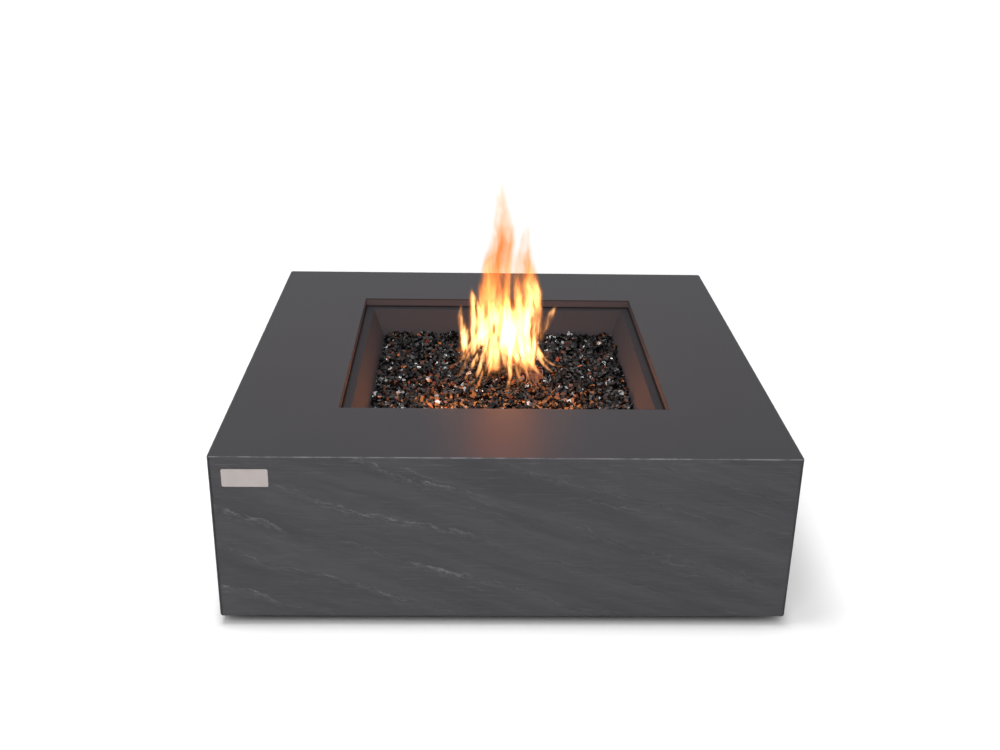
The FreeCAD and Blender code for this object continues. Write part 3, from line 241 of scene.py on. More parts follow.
class StageLook(PropertyGroup):
    floor_colour: tint("Floor", "Colour of the studio floor", (0.80, 0.80, 0.80))
    floor_glow: factor("Floor glow", "Light added to the floor for the camera", 0.23)
    side_glow: factor("Side glow", "More of it to the left and right of the table", 0.03)
    far_glow: factor("Far glow", "More of it far away from the table", 0.38)
    sky: factor("Sky", "Light of the white room on the object", 0.52)
    key_power: watts("Overhead", "Power of the lamp overhead", 54)
    fill_power: watts("Fill lamp", "Power of the lamp at the front", 40)
    glint_power: watts("Glint lamps", "Power of each small lamp that makes the glass sparkle", 9)


class FireTable(PropertyGroup):
    stone: PointerProperty(type=StoneLook)
    glass: PointerProperty(type=GlassLook)
    metal: PointerProperty(type=MetalLook)
    flame: PointerProperty(type=FlameLook)
    stage: PointerProperty(type=StageLook)


# Node trees written as sums


def sum_of(operation, swapped=False):
    """One way for wires to take part in sums."""
    def act(wire, other):
        pair = (other, wire) if swapped else (wire, other)
        return wire.bench.maths(operation, *pair)
    return act


class Wire:
    """A socket that takes part in sums as a number does."""

    def __init__(self, bench, socket):
        self.bench = bench
        self.socket = socket

    def __abs__(self):
        return self.bench.maths("ABSOLUTE", self)

    __add__ = __radd__ = sum_of("ADD")
    __mul__ = __rmul__ = sum_of("MULTIPLY")
    __sub__ = sum_of("SUBTRACT")
    __rsub__ = sum_of("SUBTRACT", swapped=True)
    __truediv__ = sum_of("DIVIDE")
    __pow__ = sum_of("POWER")


class Bench:
    """One node tree, and the ways to put nodes in it."""

    def __init__(self, tree):
        self.tree = tree

    def node(self, kind, settings=None, sockets=None, out=0):
        """A node: its settings first, then values or wires for its sockets. Gives the wire of one output."""
        made = self.tree.nodes.new(kind)
        for name, value in (settings or {}).items():
            setattr(made, name, value)
        for name, value in (sockets or {}).items():
            if isinstance(value, Wire):
                self.tree.links.new(value.socket, made.inputs[name])
            else:
                made.inputs[name].default_value = value
        return None if out is None else Wire(self, made.outputs[out])

    def maths(self, operation, *values):
        return self.node("ShaderNodeMath", {"operation": operation}, dict(enumerate(values)))

    def vectors(self, operation, *values):
        return self.node("ShaderNodeVectorMath", {"operation": operation}, dict(enumerate(values)))

    def parts(self, vector):
        first = self.node("ShaderNodeSeparateXYZ", None, {0: vector})
        return [Wire(self, output) for output in first.socket.node.outputs]

    def joined(self, x, y, z):
        return self.node("ShaderNodeCombineXYZ", None, {0: x, 1: y, 2: z})

    def rise(self, value, low, high, between="SMOOTHSTEP"):
        """0 below low, 1 above high, and a soft step between, or an even one if between is LINEAR."""
        return self.node("ShaderNodeMapRange", {"interpolation_type": between},
                         {"Value": value, "From Min": low, "From Max": high})

    def noise(self, place, scale=1.0, detail=2.0, roughness=0.5, distortion=0.0, out="Fac"):
        return self.node("ShaderNodeTexNoise", None,
                         {"Vector": place, "Scale": scale, "Detail": detail, "Roughness": roughness,
                          "Distortion": distortion}, out)

    def cells(self, place, scale):
        return self.node("ShaderNodeTexVoronoi", None, {"Vector": place, "Scale": scale}, "Distance")

    def blend(self, share, first, second):
        """A colour between two colours."""
        colours = {0: share, 6: paint(first), 7: paint(second)}
        return self.node("ShaderNodeMix", {"data_type": "RGBA"}, colours, 2)

    def relief(self, height):
        """A normal from a height in metres."""
        return self.node("ShaderNodeBump", None, {"Height": height, "Distance": 1.0})

    def place(self):
        return self.node("ShaderNodeTexCoord", out="Object")

    def surface(self, colour, roughness, normal=None, **constants):
        sockets = {"Base Color": paint(colour), "Roughness": roughness}
        for name, value in constants.items():
            sockets[name.replace("_", " ")] = value
        if normal is not None:
            sockets["Normal"] = normal
        shader = self.node("ShaderNodeBsdfPrincipled", None, sockets)
        self.node("ShaderNodeOutputMaterial", None, {"Surface": shader}, None)


def paint(colour):
    """A colour socket's value from three numbers, or the wire itself."""
    return colour if isinstance(colour, Wire) else (*colour, 1.0)


def new_finish(name):
    material = bpy.data.materials.new(name)
    material.use_nodes = True
    material.node_tree.nodes.clear()
    return material, Bench(material.node_tree)


def shade(colour, amount):
    """A colour made lighter or darker."""
    return tuple(min(1.0, part * amount) for part in colour)


# Stone


def slate_concrete(look):
    """A smooth satin top, a dull recess with painted light and shade, cleft slate with veins on the outer
    sides, and a painted highlight along the edges.
    """
    material, bench = new_finish("slate_concrete")
    place = bench.place()
    x, y, z = bench.parts(place)
    facing_x, facing_y, facing_z = bench.parts(bench.node("ShaderNodeTexCoord", out="Normal"))
    reach = bench.maths("MAXIMUM", abs(x), abs(y))
    outer = bench.rise(reach, HALF_WIDTH - 0.006, HALF_WIDTH - 0.001)
    side = outer * (1 - bench.rise(facing_z, 0.35, 0.85))
    top, vein = look.top_colour, look.vein_colour
    recess = (1 - outer) * (1 - bench.rise(z, TABLE_TOP - 0.005, TABLE_TOP - 0.001))

    along = x * abs(facing_y) + y * abs(facing_x)
    own_face = facing_x * 3.1 + (facing_y + 1) * 1.7
    run = along * math.cos(look.vein_slope) - z * math.sin(look.vein_slope)
    across = along * math.sin(look.vein_slope) + z * math.cos(look.vein_slope)

    light, step = slate_veins(bench, look, along, run, across, own_face)
    layers = bench.joined(run * 2.4, across * 19, own_face)
    layers = bench.noise(layers, detail=7, roughness=0.66, distortion=0.2)
    streaks = bench.noise(bench.joined(along * 13 + own_face, z * 240, own_face), detail=3, roughness=0.65)
    flecks = bench.noise(bench.joined(along * 90 + own_face, z * 330, own_face), detail=2)
    clouds = bench.noise(place, 5.5, 4, 0.6)
    grain = bench.noise(place, 650, 2)
    pits = 1 - bench.rise(bench.cells(place, 70), 0.03, 0.10)
    brow = bench.rise(z + (streaks - 0.5) * 0.03, TABLE_TOP - 0.040, TABLE_TOP - 0.004)

    darker, lighter = shade(look.side_colour, 0.86), shade(look.side_colour, 1.12)
    slate = bench.blend(bench.rise(layers, 0.30, 0.72), darker, lighter)
    slate = bench.blend(bench.rise(streaks, 0.52, 0.80) * (0.16 + brow * 0.16), slate, vein)
    slate = bench.blend(bench.rise(flecks, 0.66, 0.80) * 0.16, slate, vein)
    slate = bench.blend(light, slate, vein)
    smooth = bench.blend(clouds, shade(top, 0.92), shade(top, 1.08))
    smooth = bench.blend(recess, smooth, shade(top, 1.05))
    # Painted light: the lip wall above the ledge is lighter, as if lit by the fire.
    smooth = bench.blend(recess * bench.rise(z, LEDGE, LEDGE + 0.001), smooth, shade(top, 1.75))
    # Painted shade: the upward-facing ledge in the recess is darker.
    smooth = bench.blend(recess * bench.rise(facing_z, 0.6, 0.9), smooth, shade(top, 0.72))
    # Painted shadow: a dark line on the ledge in the crease at the foot of the lip wall.
    crease_shade = recess * bench.rise(z, LEDGE - 0.001, LEDGE) * bench.rise(reach, LIP - 0.006, LIP - 0.002)
    crease_shade = crease_shade * (1 - bench.rise(z, LEDGE, LEDGE + 0.005))
    smooth = bench.blend(crease_shade, smooth, shade(top, 0.25))
    colour = bench.blend(side, smooth, slate)
    # Painted highlight: a thin light line along the top edge and, fainter, down the corners.
    colour = bench.blend(edge_highlight(bench, x, y, z, reach, clouds), colour, vein)

    height = side * (step * look.vein_height + layers * look.cleft_height + streaks * look.streak_height)
    height = height + grain * 0.00004 - pits * side * 0.0004
    roughness = 0.33 + clouds * 0.05 + recess * 0.34 + side * (0.32 + layers * 0.12)
    bench.surface(colour, roughness, bench.relief(height), Specular_IOR_Level=0.032)
    return material


def slate_veins(bench, look, along, run, across, own_face):
    """Edges of split layers, wandering down the slope. Gives how light they are and the steps they make."""
    def noise(lengthwise, crosswise, shift, detail=2, roughness=0.5):
        place = bench.joined(run * lengthwise, across * crosswise, own_face + shift)
        return bench.noise(place, detail=detail, roughness=roughness)

    drift = noise(2.4, 5, 0, 1) - 0.5
    wander = noise(8, 11, 3) - 0.5
    shiver = noise(46, 40, 6, 4, 0.7) - 0.5
    lines = across / look.vein_spacing + drift * 0.55 + wander * 0.62 + shiver * 0.26 + own_face
    height = bench.maths("FRACT", lines)
    step = height - bench.rise(height, 0.945, 1.0)
    below = (1 - height) * look.vein_spacing
    away = bench.maths("MINIMUM", below, height * look.vein_spacing * 2.5)

    patches = noise(30, 34, 5, 3, 0.6)
    fibres = noise(55, 230, 8, 3, 0.65)
    crumbs = noise(170, 210, 2)
    shown = bench.rise(noise(3, 9, 9), 0.36, 0.56)
    faded = 1 - bench.rise(along, -0.16, 0.20) * 0.78
    core = (1 - bench.rise(away, 0.0, patches * 0.0085)) * bench.rise(patches, 0.38, 0.66)
    frayed = (1 - bench.rise(below, 0.001, 0.017)) * bench.rise(fibres, 0.44, 0.70)
    broken = (1 - bench.rise(away, 0.001, 0.008)) * bench.rise(crumbs, 0.60, 0.72)
    broken = broken * bench.rise(patches, 0.46, 0.60)
    light = core * 0.55 + frayed * 0.42 + broken * 0.60
    hairs = bench.maths("PINGPONG", lines * 3.7 + patches * 0.8, 0.5) * look.vein_spacing / 3.7
    sparse = bench.rise(noise(5, 14, 2, 3), 0.56, 0.68)
    fine = (1 - bench.rise(hairs, 0.0, 0.0019)) * sparse * 0.22
    return bench.maths("MAXIMUM", light * shown * faded, fine), step * (0.35 + shown * 0.65)


def edge_highlight(bench, x, y, z, reach, clouds):
    """A thin painted highlight along the top edge and, fainter, down the corners."""
    rim = bench.rise(z, TABLE_TOP - 0.0026, TABLE_TOP - 0.0006)
    rim = rim * bench.rise(reach, HALF_WIDTH - 0.0026, HALF_WIDTH)
    corner = bench.rise(bench.maths("MINIMUM", abs(x), abs(y)), HALF_WIDTH - 0.004, HALF_WIDTH - 0.001)
    patchy = bench.rise(bench.noise(bench.place(), 38, 3), 0.36, 0.60)
    return rim * (0.35 + patchy * 0.65) + corner * patchy * clouds * 0.35


# Metal


def brushed(name, colour, lengthwise, roughness=0.34, wear=0.10):
    """Sheet metal with fine scratches drawn out along one axis."""
    material, bench = new_finish(name)
    place = bench.place()
    fine = [2600.0, 2600.0, 2600.0]
    fine[lengthwise] = 26.0
    scratches = bench.noise(bench.vectors("MULTIPLY", place, tuple(fine)), detail=2, roughness=0.7)
    smudges = bench.noise(place, 34, 3)
    tone = bench.blend(scratches, shade(colour, 0.88), shade(colour, 1.10))
    tone = bench.blend(bench.rise(smudges, 0.45, 0.75) * wear, tone, shade(colour, 0.55))
    bench.surface(tone, roughness + smudges * 0.12 + scratches * 0.08, bench.relief(scratches * 0.000012),
                  Metallic=1.0)
    return material


def fired_steel(name, colour):
    """Stainless near the flame: straw and blue-brown heat tints over a dulled sheet."""
    material, bench = new_finish(name)
    place = bench.place()
    x, y, z = bench.parts(place)
    drift = bench.noise(place, 42, 4, 0.6)
    heat = bench.rise(z + drift * 0.03, BED_LEVEL - 0.02, BED_LEVEL + 0.028)
    warm = bench.blend(heat, colour, (0.46, 0.33, 0.19))
    hot = bench.blend(bench.rise(z + drift * 0.02, BED_LEVEL, BED_LEVEL + 0.022), warm, (0.19, 0.15, 0.17))
    soot = bench.rise(bench.noise(place, 90, 3), 0.50, 0.78) * 0.35
    bench.surface(bench.blend(soot, hot, (0.05, 0.045, 0.04)), 0.36 + drift * 0.20,
                  bench.relief(bench.noise(place, 420) * 0.00001), Metallic=1.0)
    return material


def plated(name, colour, roughness=0.26):
    """Zinc, nickel or bright steel: small clouds in the plating and a few dull spots."""
    material, bench = new_finish(name)
    place = bench.place()
    clouds = bench.noise(place, 120, 4, 0.6)
    spots = 1 - bench.rise(bench.cells(place, 240), 0.05, 0.16)
    tone = bench.blend(clouds, shade(colour, 0.86), shade(colour, 1.08))
    bench.surface(bench.blend(spots * 0.25, tone, shade(colour, 0.45)), roughness + clouds * 0.16,
                  bench.relief(clouds * 0.00003), Metallic=1.0)
    return material


def machined(name, colour, axis):
    """Turned metal: fine rings left by the tool along the part's own axis."""
    material, bench = new_finish(name)
    place = bench.place()
    travel = bench.parts(place)[axis]
    rings = bench.maths("SINE", travel * 9500)
    tarnish = bench.noise(place, 75, 4, 0.6)
    tone = bench.blend(bench.rise(tarnish, 0.35, 0.75), shade(colour, 1.05), shade(colour, 0.66))
    marks = bench.relief(rings * 0.000006 + tarnish * 0.00002)
    bench.surface(tone, 0.24 + tarnish * 0.18, marks, Metallic=1.0)
    return material


# Moulded, fired and wrapped parts


def moulded(name, colour, roughness=0.52, grain=900, depth=0.00003, sheen=0.45):
    """Plastic or rubber from a mould: an even fine grain, and patches rubbed smoother."""
    material, bench = new_finish(name)
    place = bench.place()
    texture = bench.noise(place, grain, 2)
    rubbed = bench.rise(bench.noise(place, 55, 3), 0.48, 0.70)
    tone = bench.blend(rubbed * 0.5, colour, shade(colour, 1.35))
    bench.surface(tone, roughness + texture * 0.08 - rubbed * 0.10, bench.relief(texture * depth),
                  Specular_IOR_Level=sheen)
    return material


def glazed_ceramic():
    """White insulator, a little browned towards the flame."""
    material, bench = new_finish("glazed_ceramic")
    place = bench.place()
    height = bench.parts(place)[2]
    stain = bench.noise(place, 160, 4, 0.6)
    browned = bench.rise(height + stain * 0.02, BED_LEVEL - 0.05, BED_LEVEL) * 0.6
    glaze = bench.blend(stain, (0.82, 0.81, 0.78), (0.88, 0.87, 0.84))
    bench.surface(bench.blend(browned, glaze, (0.36, 0.25, 0.16)), 0.16 + stain * 0.12,
                  bench.relief(stain * 0.00003), Coat_Roughness=0.1)
    return material


def broken_glass(look):
    """Black glass with mirror-bright faces; a few shards are smoky, and every shard has its own tone."""
    material, bench = new_finish("broken_glass")
    place = bench.place()
    own = bench.node("ShaderNodeAttribute", {"attribute_name": "shard"}, out="Fac")
    ripple = bench.noise(place, 260, 2)
    smoky = bench.blend(bench.rise(own, 0.62, 1.0), look.colour, look.smoky_colour)
    brown = bench.blend(bench.rise(own, 0.92, 1.0), smoky, look.brown_colour)
    dusty = bench.rise(bench.noise(place, 120, 3), 0.55, 0.80) * 0.12
    bench.surface(brown, 0.03 + dusty, bench.relief(ripple * 0.00016), Specular_IOR_Level=0.22)
    return material


# Helpers for pieces


def dress(material, *names):
    """Gives CAD nodes their finish. Their shape and place stay as packed."""
    for name in names:
        node = frame["nodes"][name]
        if not node.material_slots:
            node.data.materials.append(material)
        for slot in node.material_slots:
            slot.material = material


def middle_of(name):
    low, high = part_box(name)
    return (low + high) / 2


def new_object(name, data):
    made = bpy.data.objects.new(name, data)
    bpy.context.scene.collection.objects.link(made)
    return made


def new_piece(name, corners, faces, material):
    mesh = bpy.data.meshes.new(name)
    mesh.from_pydata(corners, [], faces)
    mesh.update()
    mesh.materials.append(material)
    return new_object(name, mesh)


# Fire glass


def one_shard(random):
    """Corners and faces of one broken piece: a block cut by a few random planes."""
    block = bmesh.new()
    bmesh.ops.create_cube(block, size=2.0)
    stretch = Vector((1.1, random.uniform(0.50, 0.90), random.uniform(0.36, 0.70)))
    bmesh.ops.scale(block, vec=stretch, verts=block.verts)
    for _ in range(SHARD_CUTS):
        normal = Vector(random.normal(size=3)).normalized()
        place = normal * random.uniform(0.52, 0.78)
        everything = block.verts[:] + block.edges[:] + block.faces[:]
        done = bmesh.ops.bisect_plane(
            block, geom=everything, plane_co=place, plane_no=normal, clear_outer=True)
        edges = [item for item in done["geom_cut"] if isinstance(item, bmesh.types.BMEdge)]
        if edges:
            bmesh.ops.edgenet_fill(block, edges=edges)
    bmesh.ops.recalc_face_normals(block, faces=block.faces)
    block.verts.index_update()
    corners = np.array([corner.co[:] for corner in block.verts])
    faces = [[corner.index for corner in face.verts] for face in block.faces]
    block.free()
    return corners, faces


def random_turns(random, count):
    """Evenly spread rotation matrices."""
    turns = random.normal(size=(4, count)).T
    return [np.array(Quaternion(turn.tolist()).normalized().to_matrix()) for turn in turns]


def bed_heights(x, y):
    """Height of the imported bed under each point, read from the node that the shards stand for."""
    bed = frame["nodes"]["fire_glass"]
    down = Vector((0, 0, -1))
    heights = []
    for across, deep in zip(x, y):
        hit, place, _, _ = bed.ray_cast(Vector((across, deep, TABLE_TOP)), down)
        heights.append(place.z if hit else BED_LEVEL)
    return np.array(heights)


def beside_shield(x, y, margin):
    """True where a point is over the shield or within a margin of it."""
    return ((x > SHIELD_LOW.x - margin) & (x < SHIELD_HIGH.x + margin)
            & (y > SHIELD_LOW.y - margin) & (y < SHIELD_HIGH.y + margin))


def scattered_places(look, random):
    """Middles of the shards: three shaken layers that follow the heaps, clear of the walls and the shield."""
    reach = GLASS_HIGH.x - SHARD_ROOM
    count = int(2 * reach / look.spacing)
    steps = (np.arange(count) + 0.5) * (2 * reach / count) - reach
    layers = []
    for number, depth in enumerate(LAYER_DEPTHS):
        x, y = np.meshgrid(steps, steps)
        shift = look.spacing / 3 * number
        x = x.ravel() + shift + random.normal(0, look.spacing * 0.24, x.size)
        y = y.ravel() - shift + random.normal(0, look.spacing * 0.24, y.size)
        inside = (np.abs(x) < reach) & (np.abs(y) < reach) & ~beside_shield(x, y, look.shard_radius * 0.62)
        x, y = x[inside], y[inside]
        z = bed_heights(x, y) - depth + random.normal(0, 0.0011, x.size)
        layers.append(np.column_stack([x, y, z]))
    return np.vstack(layers)


def bed_below(first):
    """A dark uneven bed under the shards, open at the shield."""
    reach = GLASS_HIGH.x - BED_ROOM
    count = 96
    steps = np.linspace(-reach, reach, count)
    x, y = np.meshgrid(steps, steps)
    heights = bed_heights(x.ravel(), y.ravel())
    ripples = 0.0016 * np.sin(x.ravel() * 190 + y.ravel() * 40) * np.cos(y.ravel() * 170 - x.ravel() * 60)
    corners = np.column_stack([x.ravel(), y.ravel(), heights - BED_DEPTH + ripples])
    faces = []
    for row in range(count - 1):
        for column in range(count - 1):
            middle_x = (steps[column] + steps[column + 1]) / 2
            middle_y = (steps[row] + steps[row + 1]) / 2
            if beside_shield(middle_x, middle_y, 0.0):
                continue
            start = first + row * count + column
            faces.append((start, start + 1, start + count + 1, start + count))
    return list(map(tuple, corners)), faces


def fire_glass_bed(look):
    """Thousands of loose shards over a dark bed, as one mesh."""
    random = np.random.default_rng(look.seed)
    kinds = [one_shard(random) for _ in range(look.kinds)]
    places = scattered_places(look, random)
    turns = random_turns(random, len(places))
    sizes = look.shard_radius * random.uniform(0.66, 1.18, len(places))
    tones = random.uniform(0, 1, len(places))
    corners, faces, face_tones = [], [], []
    for place, turn, size, tone in zip(places, turns, sizes, tones):
        shape, sides = kinds[random.integers(len(kinds))]
        first = len(corners)
        corners.extend(map(tuple, shape @ turn.T * size + place))
        faces.extend([[first + index for index in side] for side in sides])
        face_tones.extend([tone] * len(sides))
    bed_corners, bed_faces = bed_below(len(corners))
    corners.extend(bed_corners)
    faces.extend(bed_faces)
    face_tones.extend([0.0] * len(bed_faces))
    piece = new_piece("fire_glass_shards", corners, faces, broken_glass(look))
    piece.data.attributes.new("shard", "FLOAT", "FACE").data.foreach_set("value", face_tones)
    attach(piece, "base")
    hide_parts("fire_glass")


# Springs


def wound_spring(name, joint_name, winding, steel):
    """A smooth coil in the place of a CAD spring."""
    wire, turns = winding
    low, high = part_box(name)
    middle = middle_of(name)
    radius = (high.x - low.x) / 2 - wire
    length = high.y - low.y
    per_turn, sides = 36, 10
    count = turns * per_turn
    corners, faces = [], []
    for index in range(count + 1):
        angle = 2 * math.pi * index / per_turn
        along = low.y + wire + (length - 2 * wire) * index / count
        for side in range(sides):
            around = 2 * math.pi * side / sides
            reach = radius + wire * math.cos(around)
            x, z = middle.x + reach * math.cos(angle), middle.z + reach * math.sin(angle)
            corners.append((x, along + wire * math.sin(around), z))
    for index in range(count):
        for side in range(sides):
            start, beside = index * sides + side, index * sides + (side + 1) % sides
            faces.append((start, beside, beside + sides, start + sides))
    faces.append(tuple(range(sides)))
    faces.append(tuple(range(count * sides, (count + 1) * sides)))
    coil = new_piece(f"{name}_coil", corners, faces, plated(steel, (0.45, 0.45, 0.46), 0.3))
    coil.data.polygons.foreach_set("use_smooth", [True] * len(faces))
    travel = next(max(map(abs, joint["range_m"])) for joint in frame["joints"] if joint["name"] == joint_name)
    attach(coil, "base")
    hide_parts(name)
    1 - travel / length
    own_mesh(coil)


# Marks on the control panel and the knob


def arc_band(middle, inner, outer_start, outer_end, start, end, steps=28):
    """A band round the knob whose thickness changes from one end to the other."""
    corners, faces = [], []
    for index in range(steps + 1):
        share = index / steps
        angle = math.radians(start + (end - start) * share)
        for radius in (inner, inner + outer_start + (outer_end - outer_start) * share):
            corners.append((middle[0] + radius * math.sin(angle), middle[1] + radius * math.cos(angle)))
    for index in range(steps):
        faces.append((2 * index, 2 * index + 1, 2 * index + 3, 2 * index + 2))
    return corners, faces


def small_flame(middle, height):
    """A teardrop with its tip up."""
    steps = 20
    corners = []
    for index in range(steps):
        angle = 2 * math.pi * index / steps
        pinch = math.sin(angle / 2) ** 1.6
        x, z = 0.36 * height * math.sin(angle) * pinch, height / 2 * math.cos(angle)
        corners.append((middle[0] + x, middle[1] + z))
    return corners, [tuple(range(steps))]


def spark_bolt(middle, height):
    """A zigzag that stands for the spark."""
    outline = [(0.10, 0.50), (-0.26, -0.06), (-0.02, -0.02), (-0.12, -0.50), (0.26, 0.08), (0.02, 0.05)]
    corners = [(middle[0] + x * height, middle[1] + z * height) for x, z in outline]
    return corners, [tuple(range(len(outline)))]


def panel_marks(material):
    """Printed marks: off dot, a wedge from high to low, a large and a small flame, and a spark."""
    knob = middle_of("control_knob").xz
    igniter = middle_of("igniter_housing").xz
    shapes = [
        arc_band(knob, *BAND),
        arc_band((knob[0], knob[1] + DOT_UP), *DOT),
        *[small_flame((knob[0] + across, knob[1] + up), height) for across, up, height in FLAMES],
        spark_bolt((igniter[0], igniter[1] + SPARK_UP), SPARK_HEIGHT),
    ]
    corners, faces = [], []
    for outline, sides in shapes:
        first = len(corners)
        corners.extend((x, PANEL_FACE + PRINT, z) for x, z in outline)
        faces.extend(tuple(first + index for index in side) for side in sides)
    marks = new_piece("panel_marks", corners, faces, material)
    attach(marks, "base")


def knob_pointer(material):
    """White paint in the knob's pointer slot, a little below its face and softly crowned."""
    middle = middle_of("control_knob")
    floor = KNOB_FACE - POINTER_DEPTH
    corners, faces = [], []
    steps = 12
    for index in range(steps + 1):
        z = middle.z + POINTER_START + POINTER_LENGTH * index / steps
        crowned = 0.0 if index in (0, steps) else 1.0
        corners.extend((middle.x + x, floor + lift * crowned, z) for x, lift in POINTER_SECTION)
    for index in range(steps):
        for column in range(3):
            start = 4 * index + column
            faces.append((start, start + 4, start + 5, start + 1))
    pointer = new_piece("knob_pointer", corners, faces, material)
    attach(pointer, "spindle")


# Flame


def tongue_density(bench, place, tongue):
    """How much of one tongue is at a point: 1 in its heart, 0 outside its skin."""
    foot_x, foot_y, foot_z, tip_x, tip_y, tip_z, girth, bend = tongue
    x, y, z = place
    share = bench.rise(z, foot_z, tip_z, "LINEAR")
    swing = bench.maths("SINE", share * 5.2) * bend
    beside = x - (share * (tip_x - foot_x) + foot_x) - swing
    behind = y - (share * (tip_y - foot_y) + foot_y)
    radius = girth * (1 - share ** 3) * (0.55 + 0.45 * bench.rise(share, 0.0, 0.35))
    distance = bench.maths("SQRT", beside * beside + behind * behind)
    body = bench.rise(radius - distance, 0.0, girth * 0.42)
    return body * bench.rise(z, foot_z - 0.012, foot_z + 0.006)


def root_density(bench, place, root):
    """A thin root that swings in from the glass and widens where it joins the fire."""
    foot_x, foot_y, join_x, join_y, join_z, girth, bend = root
    x, y, z = place
    foot_z = BED_LEVEL - TABLE_TOP
    share = bench.rise(z, foot_z, join_z, "LINEAR")
    swing = bench.maths("SINE", share * 4.4) * bend
    inward = bench.maths("SQRT", share)
    beside = x - (inward * (join_x - foot_x) + foot_x) - swing
    behind = y - (inward * (join_y - foot_y) + foot_y)
    radius = girth * (0.34 + 0.66 * share) * (1 - share ** 6)
    distance = bench.maths("SQRT", beside * beside + behind * behind)
    return bench.rise(radius - distance, 0.0, girth * 0.30) * bench.rise(z, foot_z - 0.008, foot_z + 0.003)


def flame_roots(look):
    """Foot, joint, half width and swing of every root."""
    random = np.random.default_rng(look.seed)
    roots = []
    for x, y in ROOTS:
        join_x = x * random.uniform(0.20, 0.40) + 0.012
        join_z = random.uniform(0.020, 0.075)
        girth = random.uniform(0.0105, 0.0155)
        bend = random.uniform(-0.012, 0.012)
        roots.append((x, y, join_x, y * 0.25, join_z, girth, bend))
    return roots


def flame_tree(look, material):
    """The flame as a cloud of small cubes, each with its density."""
    tree = bpy.data.node_groups.new("flame_cloud", "GeometryNodeTree")
    tree.interface.new_socket("Geometry", in_out="OUTPUT", socket_type="NodeSocketGeometry")
    bench = Bench(tree)
    spot = bench.vectors("SUBTRACT", bench.node("GeometryNodeInputPosition"), (0.0, 0.0, TABLE_TOP))
    loose = bench.rise(bench.parts(spot)[2], -0.06, 0.20) * 0.80 + 0.20
    swirl = bench.noise(bench.vectors("MULTIPLY", spot, (9.0, 9.0, 6.0)), detail=1, out="Color")
    licks = bench.noise(bench.vectors("MULTIPLY", spot, (34.0, 34.0, 17.0)), detail=2, out="Color")
    moved = bench.vectors("ADD", spot, wandering(bench, swirl, loose * look.sway))
    moved = bench.vectors("ADD", moved, wandering(bench, licks, loose * look.lick))
    place = bench.parts(moved)
    density = tongue_density(bench, place, TONGUES[0])
    for tongue in TONGUES[1:]:
        density = bench.maths("MAXIMUM", density, tongue_density(bench, place, tongue))
    for root in flame_roots(look):
        density = bench.maths("MAXIMUM", density, root_density(bench, place, root))
    strands = bench.noise(bench.vectors("MULTIPLY", moved, (58.0, 58.0, 9.0)), detail=3, roughness=0.65)
    density = density * (0.10 + 1.35 * bench.rise(strands, 0.40, 0.64))
    cloud = flame_cubes(bench, density, look.grain)
    shown = bench.node("GeometryNodeSetMaterial", None, {"Geometry": cloud, "Material": material})
    bench.node("NodeGroupOutput", None, {0: shown}, None)
    return tree


def wandering(bench, noise, reach):
    """A noise's colour as a push to every side, at most half its reach."""
    centred = bench.vectors("SUBTRACT", noise, (0.5, 0.5, 0.5))
    return bench.node("ShaderNodeVectorMath", {"operation": "SCALE"}, {0: centred, "Scale": reach})


def flame_cubes(bench, density, grain):
    low, high = (Vector((x, y, TABLE_TOP + up)) for x, y, up in (FLAME_LOW, FLAME_HIGH))
    size = high - low
    return bench.node("GeometryNodeVolumeCube", None, {
        "Density": density, "Min": low, "Max": high, "Resolution X": int(size.x / grain),
        "Resolution Y": int(size.y / grain), "Resolution Z": int(size.z / grain)})


def flame_finish(look):
    """White-hot strands low down, thin orange that veils what is behind it higher up."""
    material, bench = new_finish("flame")
    density = bench.node("ShaderNodeVolumeInfo", out="Density")
    spot = bench.node("ShaderNodeNewGeometry", out="Position")
    height = bench.parts(spot)[2] - TABLE_TOP
    blots = bench.noise(bench.vectors("MULTIPLY", spot, (26.0, 26.0, 7.0)), detail=2)
    heat = 1 - bench.rise(height + (blots - 0.5) * 0.28, 0.02, 0.22)
    heat = heat * (0.35 + 0.65 * bench.rise(height, -0.055, 0.0)) * bench.rise(density, 0.25, 1.1)
    colour = bench.blend(heat, (1.0, 0.38, 0.12), (1.0, 0.60, 0.24))
    ember = look.ember * (1 - bench.rise(height, 0.13, 0.23) * 0.5)
    glow = bench.node("ShaderNodeEmission", None,
                      {"Color": colour, "Strength": density * (ember + heat * look.glow)})
    cool = 1 - heat * 0.8
    veil = bench.node("ShaderNodeVolumeAbsorption", None,
                      {"Color": (0.96, 0.44, 0.10, 1.0), "Density": density * cool * look.veil})
    both = bench.node("ShaderNodeAddShader", None, {0: glow, 1: veil})
    bench.node("ShaderNodeOutputMaterial", None, {"Volume": both}, None)
    return material


def flame_cloud(look):
    """Fire is no solid, so it is staged and stays out of the part. It gives light and throws no shadow."""
    material = flame_finish(look)
    flame = new_piece("flame", [], [], material)
    flame.modifiers.new("cloud", "NODES").node_group = flame_tree(look, material)
    flame.visible_shadow = False
    flame.visible_diffuse = False


def fire_lamps(look):
    """Warm lamps low in the flame light the bowl. Redder ones high up are mirrored in the top."""
    for lamps, colour in ((LOW_LAMPS, look.lamp_colour), (HIGH_LAMPS, look.high_colour)):
        for name, share, across, deep, up in lamps:
            place = (across, deep, TABLE_TOP + up)
            lamp = new_lamp(f"fire_lamp_{name}", "POINT", look.lamp_power * share, place, colour)
            lamp.data.shadow_soft_size = FIRE_LAMP_SIZE
            lamp.visible_camera = False


# Stage


def new_lamp(name, kind, power, place, colour=(1.0, 1.0, 1.0)):
    data = bpy.data.lights.new(name, kind)
    data.energy = power
    data.color = colour
    lamp = new_object(name, data)
    lamp.location = place
    return lamp


